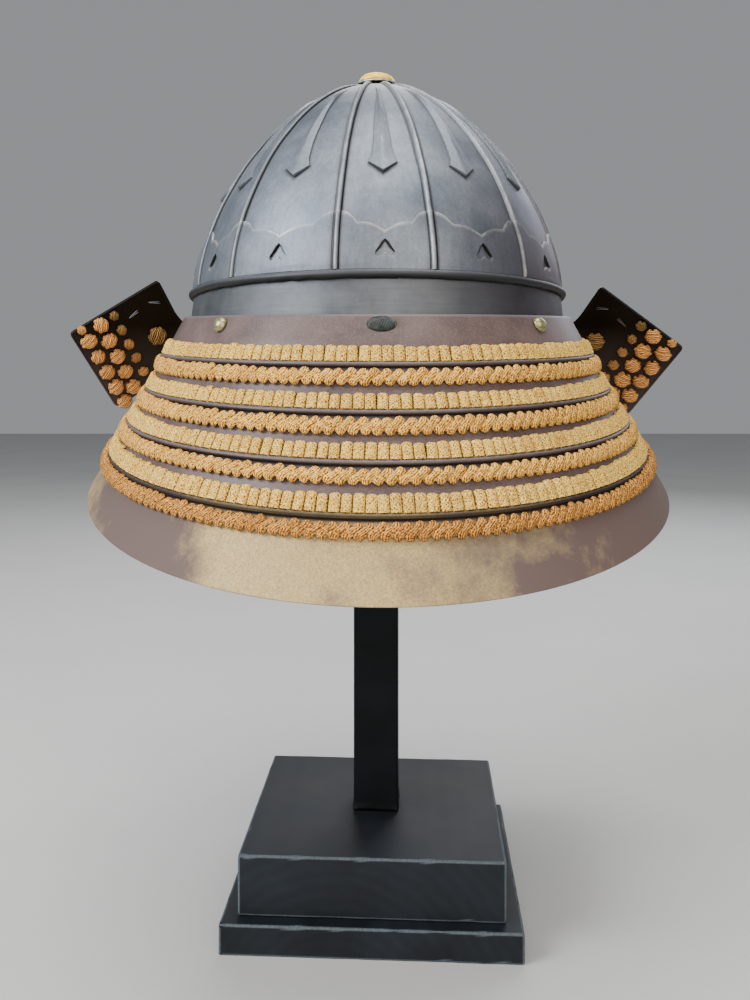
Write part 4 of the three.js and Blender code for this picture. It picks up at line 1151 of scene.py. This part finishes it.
def rope_material(name, stops, soil_colour):
    """Loose twisted strands run along each lobe, with painted shade between them, and fuzzy on top."""
    material, node, finish, place = start_material(name)
    flat = node("SeparateXYZ", [node("UVMap", uv_map="UVMap")]).outputs
    lean = node("Math", [flat["Y"], 0.16, flat["X"]], operation="MULTIPLY_ADD")
    strands = ridges(node, place, lean, STRAND_PITCH, 1.6, 420.0)
    depth = fuzzed(node, place, strands, 0.22, 0.85, 2.8, 1.45)
    shaded_soiled = shaded_and_aged(node, place, depth, stops, (0.84, 1.06), 0.52, soil_colour)
    bump = node("Bump", {"Height": depth, "Strength": 0.85, "Distance": 0.0007})
    finish(Base_Color=shaded_soiled, Roughness=0.9, Normal=bump, Specular_IOR_Level=0.1)
    return material


# The stops run from painted shade in the creases to painted highlight on the crowns.
tan = [(0.0, "744612"), (0.35, "cd8c36"), (0.65, "f8bc58"), (1.0, "ffe088")]
russet = [(0.0, "5e3810"), (0.35, "a66b2e"), (0.65, "cf9148"), (1.0, "ecba6c")]
tan_rope = rope_material("tan plaited silk cord", tan, "c08a48")
russet_rope = rope_material("russet plaited silk cord", russet, "a06c34")
lobe_unit = unit_object("slanting_lobe_unit", *slanting_lobe())
for index, (top, bottom) in enumerate(ROPES):
    lame = LAMES[index + 1]
    cord_row(f"rope_row_{index + 1}", lame, bottom, top, lame["end"] - 3,
             Unit=lobe_unit, Pitch=LOBE["pitch"] / 1000, Unevenness=0.06, Lean=0.07, Seed=20 + index,
             **{"Left width": 1.0, "Right width": 1.0},
             Material=russet_rope if lame is LAMES[LAST] else tan_rope)
bpy.data.objects.remove(lobe_unit)


# --- Turn-backs: the first lame's ends, folded out to face the rear -----------------------------------
# The ends of the first lame are drawn out into square plates and folded back beside the face. They are
# lacquered near black, with a fine raised border, and each is one sheet with its fold.
BEND = {"turn": math.radians(146), "radius": 7.5, "gap": 0.3, "steps": 18}
# Corners of a plate: distances along the sheet from the fold, and up it.
WING = {"neck_bend": (13, -13), "neck": (32, 2.4), "inner_top": (49.8, 19.3), "outer_top": (90.6, -31.8),
        "lower": (44.6, -72.8)}
# Each plate was bent by hand: roll turns it in its own plane, and slide moves it out along the sheet.
TURN_BACKS = {"right": {"roll": math.radians(-2.8), "slide": 2.5, "side": 1},
              "left": {"roll": math.radians(3.3), "slide": 0, "side": -1}}
# The front border and the back edge as distances in from the edge and heights off the sheet.
BORDER = [(0.0, -0.35), (0.15, 0.15), (0.5, 0.42), (0.9, 0.45), (1.3, 0.3), (1.6, 0.0)]
BACK_EDGE = [(0.4, 0.0), (0.0, -0.35)]
# The fold's section: up it as a part of its half height, and out as a part of half its thickness.
FOLD_SECTION = [(1, 0.6), (0.975, 1), (-0.975, 1), (-1, 0.6), (-1, -0.6), (-0.975, -1), (0.975, -1),
                (1, -0.6)]


def unit_vector(v):
    return v / np.linalg.norm(v)


end_angle = np.array(math.radians(LAMES[0]["end"]))
bend_top, bend_foot = [on_guard(*LAMES[0]["face"][i][:1], end_angle, LAMES[0]["face"][i][1]) for i in (0, -1)]
bend_up = unit_vector(bend_top - bend_foot)
bend_half = float(np.linalg.norm(bend_top - bend_foot)) / 2
forward = np.array([math.cos(end_angle), OVAL * math.sin(end_angle), 0])
forward = unit_vector(forward - bend_up * (forward @ bend_up))
outward = np.cross(forward, bend_up)
bend_start = (bend_top + bend_foot) / 2 - outward * SHEET / 2 + forward * BEND["gap"]


def facing(angle):
    return outward * math.cos(angle) - forward * math.sin(angle)


def on_bend(angle):
    return bend_start + (outward - facing(angle)) * BEND["radius"]


wing_facing = facing(BEND["turn"])
wing_heading = forward * math.cos(BEND["turn"]) + outward * math.sin(BEND["turn"])


def on_wing(plate, along, up, height):
    """A point of a plate: distances along the sheet from the fold, up it, and off its rear face."""
    cos, sin = math.cos(plate["roll"]), math.sin(plate["roll"])
    ahead = wing_heading * cos + bend_up * sin
    above = bend_up * cos - wing_heading * sin
    point = on_bend(BEND["turn"]) + ahead * (along + plate["slide"]) + above * up
    return (point + wing_facing * (SHEET / 2 + height)) * (plate["side"], 1, 1)


def curve(start, control, end, count):
    """Points of a quadratic curve, without its first one."""
    start, control, end = (np.array(p, float) for p in (start, control, end))
    return [start * (1 - t) ** 2 + control * 2 * t * (1 - t) + end * t * t
            for t in np.linspace(0, 1, count + 1)[1:]]


def rounded_corner(before, at, after, radius):
    before, at, after = (np.array(p, float) for p in (before, at, after))
    start = at + unit_vector(before - at) * radius
    return [start] + curve(start, at, at + unit_vector(after - at) * radius, 6)


def wing_outline(slide):
    """The plate's edge from the top of the fold round to its foot."""
    top, foot = (-slide, bend_half), (-slide, -bend_half)
    edge = [top, (1.0, bend_half), *curve((1, bend_half), WING["neck_bend"], WING["neck"], 14)]
    edge += rounded_corner(WING["neck"], WING["inner_top"], WING["outer_top"], 3)
    edge += rounded_corner(WING["inner_top"], WING["outer_top"], WING["lower"], 3)
    edge += rounded_corner(WING["outer_top"], WING["lower"], foot, 5)
    return in_steps(np.array([*edge, (1.0, -bend_half), foot]), 3, 1)


def inset(line, distance):
    """The open outline moved inwards, to the left of its direction of travel."""
    ahead = np.gradient(line, axis=0)
    ahead /= np.linalg.norm(ahead, axis=1)[:, None]
    moved = line + np.stack([ahead[:, 1], -ahead[:, 0]], axis=1) * distance
    moved[0] = (line[0][0], line[0][1] - distance)
    moved[-1] = (line[-1][0], line[-1][1] + distance)
    return moved


def turn_back_sheet(plate):
    """The fold and the plate, each a closed skin. The plate has a rounded edge and a low border."""
    outline = wing_outline(plate["slide"])
    levels = [(distance, -SHEET - height) for distance, height in BACK_EDGE] + BORDER
    points = []
    for distance, height in levels:
        points += [on_wing(plate, x, y, height) for x, y in inset(outline, distance)]
    size, count = len(outline), len(levels)
    faces = [*skin(count, size, around=False), range(size), range((count - 1) * size, count * size)]
    # The root of the plate is open here; the fold's last section closes it.
    faces.append([r * size for r in range(count)] + [r * size + size - 1 for r in range(count - 1, -1, -1)])
    fold = []
    for i in range(BEND["steps"] + 1):
        angle = BEND["turn"] * i / BEND["steps"]
        for up, out in FOLD_SECTION:
            point = on_bend(angle) + bend_up * up * bend_half + facing(angle) * out * SHEET / 2
            fold.append(point * (plate["side"], 1, 1))
    size = len(FOLD_SECTION)
    fold_faces = [*skin(BEND["steps"] + 1, size), range(size), range(len(fold) - size, len(fold))]
    return [(points, faces), (fold, fold_faces)]


black_lacquer, node, finish, place = start_material("black-brown lacquer")
# The same brushed lacquer, nearly black and better kept: a deep coat with soft reflections, dust caught
# low down, and a brown tint where light passes through it.
cloudy = node("TexNoise", {"Vector": place, "Scale": 40.0, "Detail": 4.0, "Roughness": 0.6})
dust = node("TexNoise", {"Vector": place, "Scale": 1000.0, "Detail": 2.0, "Roughness": 0.7})
coat = node("ValToRGB", [cloudy], [(0.3, "050303"), (0.6, "0a0604"), (0.8, "100907")])
low = node("MapRange", [node("SeparateXYZ", [place]).outputs["Z"], 0.33, 0.27, 0, 0.75])
dusty = node("Mix", {0: low, 6: coat, 7: "504644"}, **TINT)
gloss = node("MapRange", [cloudy, 0, 1, 0.28, 0.48])
bump = node("Bump", {"Height": dust, "Strength": 0.08, "Distance": 0.0002})
finish(Base_Color=dusty, Roughness=gloss, Normal=bump, Specular_IOR_Level=0.14)

for side, plate in TURN_BACKS.items():
    points, faces = joined(turn_back_sheet(plate))
    label = f"turn_back_{side}"
    add_piece(f"{label}_lacquered", points, faces, black_lacquer, [label], smooth_under=40)


# --- Cross-knots and pins on the turn-backs -----------------------------------------------------------
# Rows of silk knots cross over each other to hold the lining behind the plates. Each is a fat bundle laid
# over another; the inner ones are small and stained. Split pins of iron wire once held a crest.
BIG_KNOT = [(45.3, 31.9, 1.12, 0.12)]
# Each knot has its inset from the outer edge, its distance down from the top one, its size and its tone.
KNOTS = {
    "outer": [(7.7, 2.0, 0.62, 0.5), (7.5, 10.8, 1.0, 0.5), (6.6, 23.0, 1.0, 0.5), (5.75, 35.2, 1.0, 0.45),
              (4.9, 47.4, 1.0, 0.6), (4.0, 59.6, 1.0, 0.7)],
    "middle": [(19.5, 5.6, 1.0, 0.5), (18.1, 17.6, 1.0, 0.5), (16.75, 29.6, 1.0, 0.6), (15.4, 41.6, 1.0, 0.7),
               (14.0, 53.6, 1.0, 0.8)],
    "inner": [(29.5, 5.0, 0.66, 0.1), (28.4, 15.8, 0.66, 0.2), (27.25, 26.6, 0.7, 0.3),
              (26.1, 37.4, 0.7, 0.25),
              (25.0, 48.2, 0.68, 0.45)],
}
BUNDLE = {"half_length": 5.6, "radius": 1.95, "flat": 0.85, "pitch": 2.7, "rings": 8, "sides": 8}
# The strands of a knot: turn, lift off the plate, bow, and where each strand lies across.
CROSSED = [(math.radians(38), 1.3, 0.4, (-0.85, 0.85)), (math.radians(-52), 2.2, 1.1, (-1, 0, 1))]
PINS = [(55.3, 11.4, 0.6), (40.1, 11.1, -0.15)]
PIN_HALF = 3.6
outer_corner, inner_corner = np.array(WING["outer_top"]), np.array(WING["inner_top"])
edge_out = unit_vector(outer_corner - inner_corner)
edge_down = np.array([edge_out[1], -edge_out[0]])


def on_edge(plate, inset_by, down, height):
    """A point on a plate, inset from its outer edge and down from its top one."""
    return on_wing(plate, *(outer_corner - edge_out * inset_by + edge_down * down), height)


def knot_bundle():
    """Three fat strands laid at a slant over two others, flattened against the plate at Z = 0."""
    parts, uv = [], []
    rings, sides, radius = BUNDLE["rings"], BUNDLE["sides"], BUNDLE["radius"]
    last = (rings - 1) * sides
    for turn, lift, bow, lines in CROSSED:
        for line in lines:
            points = []
            for v in np.linspace(-1, 1, rings):
                thick = radius * math.sqrt(1 - (abs(v) * 0.97) ** 4.5)
                x = BUNDLE["half_length"] * (1 - 0.17 * abs(line)) * v
                for a in 2 * math.pi * np.arange(sides) / sides:
                    y = line * BUNDLE["pitch"] * (1 - 0.3 * v * v) + thick * math.cos(a)
                    middle = lift + bow * (1 - 1.9 * v * v) - 0.35 * abs(line)
                    z = middle + BUNDLE["flat"] * thick * math.sin(a)
                    across = x * math.cos(turn) - y * math.sin(turn)
                    along = x * math.sin(turn) + y * math.cos(turn)
                    points.append((across, along, max(z, 0)))
                    uv.append((radius * (a + line), x))
            parts.append((points, [*skin(rings, sides), range(sides), range(last, last + sides)]))
    return *joined(parts), uv


def knot_tree():
    """Sets a knot on each given point, upright to the plate, turned a little at random."""
    tree, node, given = node_group("knots", [("Unit", "Object"), ("Along", "Vector"), ("Off plate", "Vector"),
                                             ("Turn", "Float"), ("Seed", "Int"), ("Material", "Material")])
    stood = upright_rotation(node, given["Along"], given["Off plate"])
    unit = node("GeometryNodeObjectInfo", {"Object": given["Unit"]},
                transform_space="ORIGINAL").outputs["Geometry"]
    size = node("GeometryNodeInputNamedAttribute", {"Name": "size"}, data_type="FLOAT")
    placed = node("GeometryNodeInstanceOnPoints",
                  {"Points": given["Geometry"], "Instance": unit, "Rotation": stood, "Scale": size})
    least = node("Math", [given["Turn"], -1.0], operation="MULTIPLY")
    turn = node("FunctionNodeRandomValue", {2: least, 3: given["Turn"], "Seed": given["Seed"]},
                data_type="FLOAT")
    turned = node("GeometryNodeRotateInstances",
                  {"Instances": placed, "Rotation": node("CombineXYZ", {2: turn})})
    stretch = node("FunctionNodeRandomValue",
                   {0: (0.88, 0.88, 0.9), 1: (1.08, 1.06, 1.1), "Seed": given["Seed"]},
                   data_type="FLOAT_VECTOR")
    scaled = node("GeometryNodeScaleInstances", {"Instances": turned, "Scale": stretch})
    close_group(node, scaled, given["Material"])
    return tree


knot_silk, node, finish, place = start_material("orange-tan knotted silk")
# Faded silk cord: strands 1.3 mm apart run along each bundle, coloured by depth with painted shade between
# them and painted highlight on top. The tone of a knot goes from stained brown and olive on the inner ones to
# bleached orange-tan on those that caught the light.
flat = node("SeparateXYZ", [node("UVMap", uv_map="UVMap")]).outputs
strands = ridges(node, place, flat["X"], 1.3, 2.2, 260.0)
depth = fuzzed(node, place, strands, 0, 1, 0.5, 0.25, scale=1300.0, roughness=0.5)
thread = node("ValToRGB", [depth], [(0.0, "5e3612"), (0.4, "cf8238"), (1.0, "fcc07a")])
old_shaded = node("ValToRGB", [depth], [(0.0, "1c1209"), (0.5, "5a4222"), (1.0, "8e784a")])
tone = node("Attribute", attribute_name="tone").outputs["Fac"]
kept = node("MapRange", [tone, 0.05, 0.5])
shaded_aged_silk = node("Mix", {0: kept, 6: old_shaded, 7: thread}, **TINT)
bump = node("Bump", {"Height": depth, "Strength": 0.8, "Distance": 0.0008})
finish(Base_Color=shaded_aged_silk, Roughness=0.88, Normal=bump, Specular_IOR_Level=0.1)

knot_unit = unit_object("knot_unit", *knot_bundle())
knot_nodes = knot_tree()
for side, plate in TURN_BACKS.items():
    along = unit_vector(on_edge(plate, 0, 10, 0) - on_edge(plate, 0, 0, 0))
    off_plate = wing_facing * (plate["side"], 1, 1)
    columns = [(f"knots_{column}_{side}", places, 40 + order + 7 * (side == "left"))
               for order, (column, places) in enumerate(KNOTS.items())]
    for label, places, seed in [*columns, (f"big_knot_{side}", BIG_KNOT, 55)]:
        insets, downs, sizes, tones = zip(*places)
        centres = np.array([on_edge(plate, inset_by, down, 0.35) for inset_by, down in zip(insets, downs)])
        marks = [("size", "FLOAT", "value", sizes), ("tone", "FLOAT", "value", tones)]
        grow(f"{label}_silk", centres, [], marks, knot_nodes, "knot_cord", [label], 80, Unit=knot_unit,
             Along=along.tolist(), Turn=0.55, Seed=seed, Material=knot_silk,
             **{"Off plate": off_plate.tolist()})
bpy.data.objects.remove(knot_unit)

for side, plate in TURN_BACKS.items():
    legs = []
    for inset_by, down, turn in PINS:
        for spread in (-0.5, 0.5):
            lean = turn + spread * 0.12
            line = [on_edge(plate, inset_by + p * math.cos(lean), down + spread * 0.9 + p * math.sin(lean),
                            0.55)
                    for p in np.linspace(-PIN_HALF, PIN_HALF, 6)]
            legs.append(tube(line, 0.3, 0.28, wing_facing * (plate["side"], 1, 1), 8))
    points, faces = joined(legs)
    add_piece(f"split_pins_{side}_iron", points, faces, russet_iron, [])


# --- Peak over the brow -------------------------------------------------------------------------------
# A plain crescent of lacquered iron is riveted under the front of the bowl and droops over the brow. Its
# free edge is turned in a fine roll.
PEAK = {"spread": 50, "depth": 40, "droop": 0.3, "root": 109, "top": 331, "brow": 323, "steps": 67}
PEAK_EDGE = [(0.0, SHEET), (0.3, SHEET * 0.75), (0.3, SHEET * 0.25), (0.0, 0.0)]


def peak_section(angles):
    """Down the root, out over the upper face, round the edge, back under the lower face and up the root."""
    spread, depth, droop, root, top, brow, _ = PEAK.values()
    turn = np.clip((angles - math.pi) / math.radians(spread), -1, 1) * math.pi / 2
    reach = 3 + depth * np.cos(turn).clip(0, 1) ** 0.8
    drop = reach * droop
    out = root + SHEET
    around = on_ring(1.0, angles, 0)
    section = [on_ring(out, angles, top + (brow + SHEET + 1.5 - top) * p) for p in np.linspace(0, 1, 6)]
    face = [(out + 0.6 + (reach - 1) * p, brow + SHEET - drop * p + 0.5 * (1 - p))
            for p in np.linspace(0, 1, 14)]
    face += [(out + reach + da, brow + dz - drop) for da, dz in PEAK_EDGE]
    face += [(out + 0.2 + (reach - 0.6) * p, brow - drop * p) for p in np.linspace(1, 0, 14)]
    section += [around * a[:, None] + UP * z[:, None] for a, z in face]
    section += [on_ring(root, angles, brow + (top - brow) * p) for p in np.linspace(0, 1, 6)]
    return np.stack(section, axis=1)


angles = np.radians(np.linspace(180 - PEAK["spread"], 180 + PEAK["spread"], PEAK["steps"]))
points, faces = swept(peak_section, angles, closed=False)
marks = {"wear": np.zeros(len(points)), "shade": np.zeros(len(points))}
add_piece("peak_lacquered", points, faces, brown_lacquer, ["peak"], smooth_under=50,
          marks=marks)


# --- Head of the stand --------------------------------------------------------------------------------
# A rounded block of the same stained pine on top of the post, shaped to sit inside the crown of the bowl.
PAD = {"radius": 36, "foot": 436.3, "clearance": 1.0, "from_height": 98, "crown": 112}


def pad_section(angles):
    """Closed outline from the axis out along the foot, up the side and in over the crown."""
    rings = [on_ring(PAD["radius"] * p, angles, PAD["foot"]) for p in (0.02, 0.5, 0.95, 1.0)]
    rings.append(on_ring(PAD["radius"] + 0.3, angles, PAD["foot"] + 1.2))
    level = np.ones_like(angles)
    for height in np.linspace(PAD["from_height"], PAD["crown"], 8):
        rings.append(on_bowl(0 * level, level * height, angles, -WALL - PAD["clearance"]))
    rings.append(on_ring(0.6, angles, float(rings[-1][:, 2].mean())))
    return np.stack(rings, axis=1)


points, faces = swept(pad_section, WHOLE_RING)
marks = {"wear": np.zeros(len(points))}
add_piece("stand_head_wood", points, faces, stained_wood, ["stand_head"], smooth_under=50,
          marks=marks)
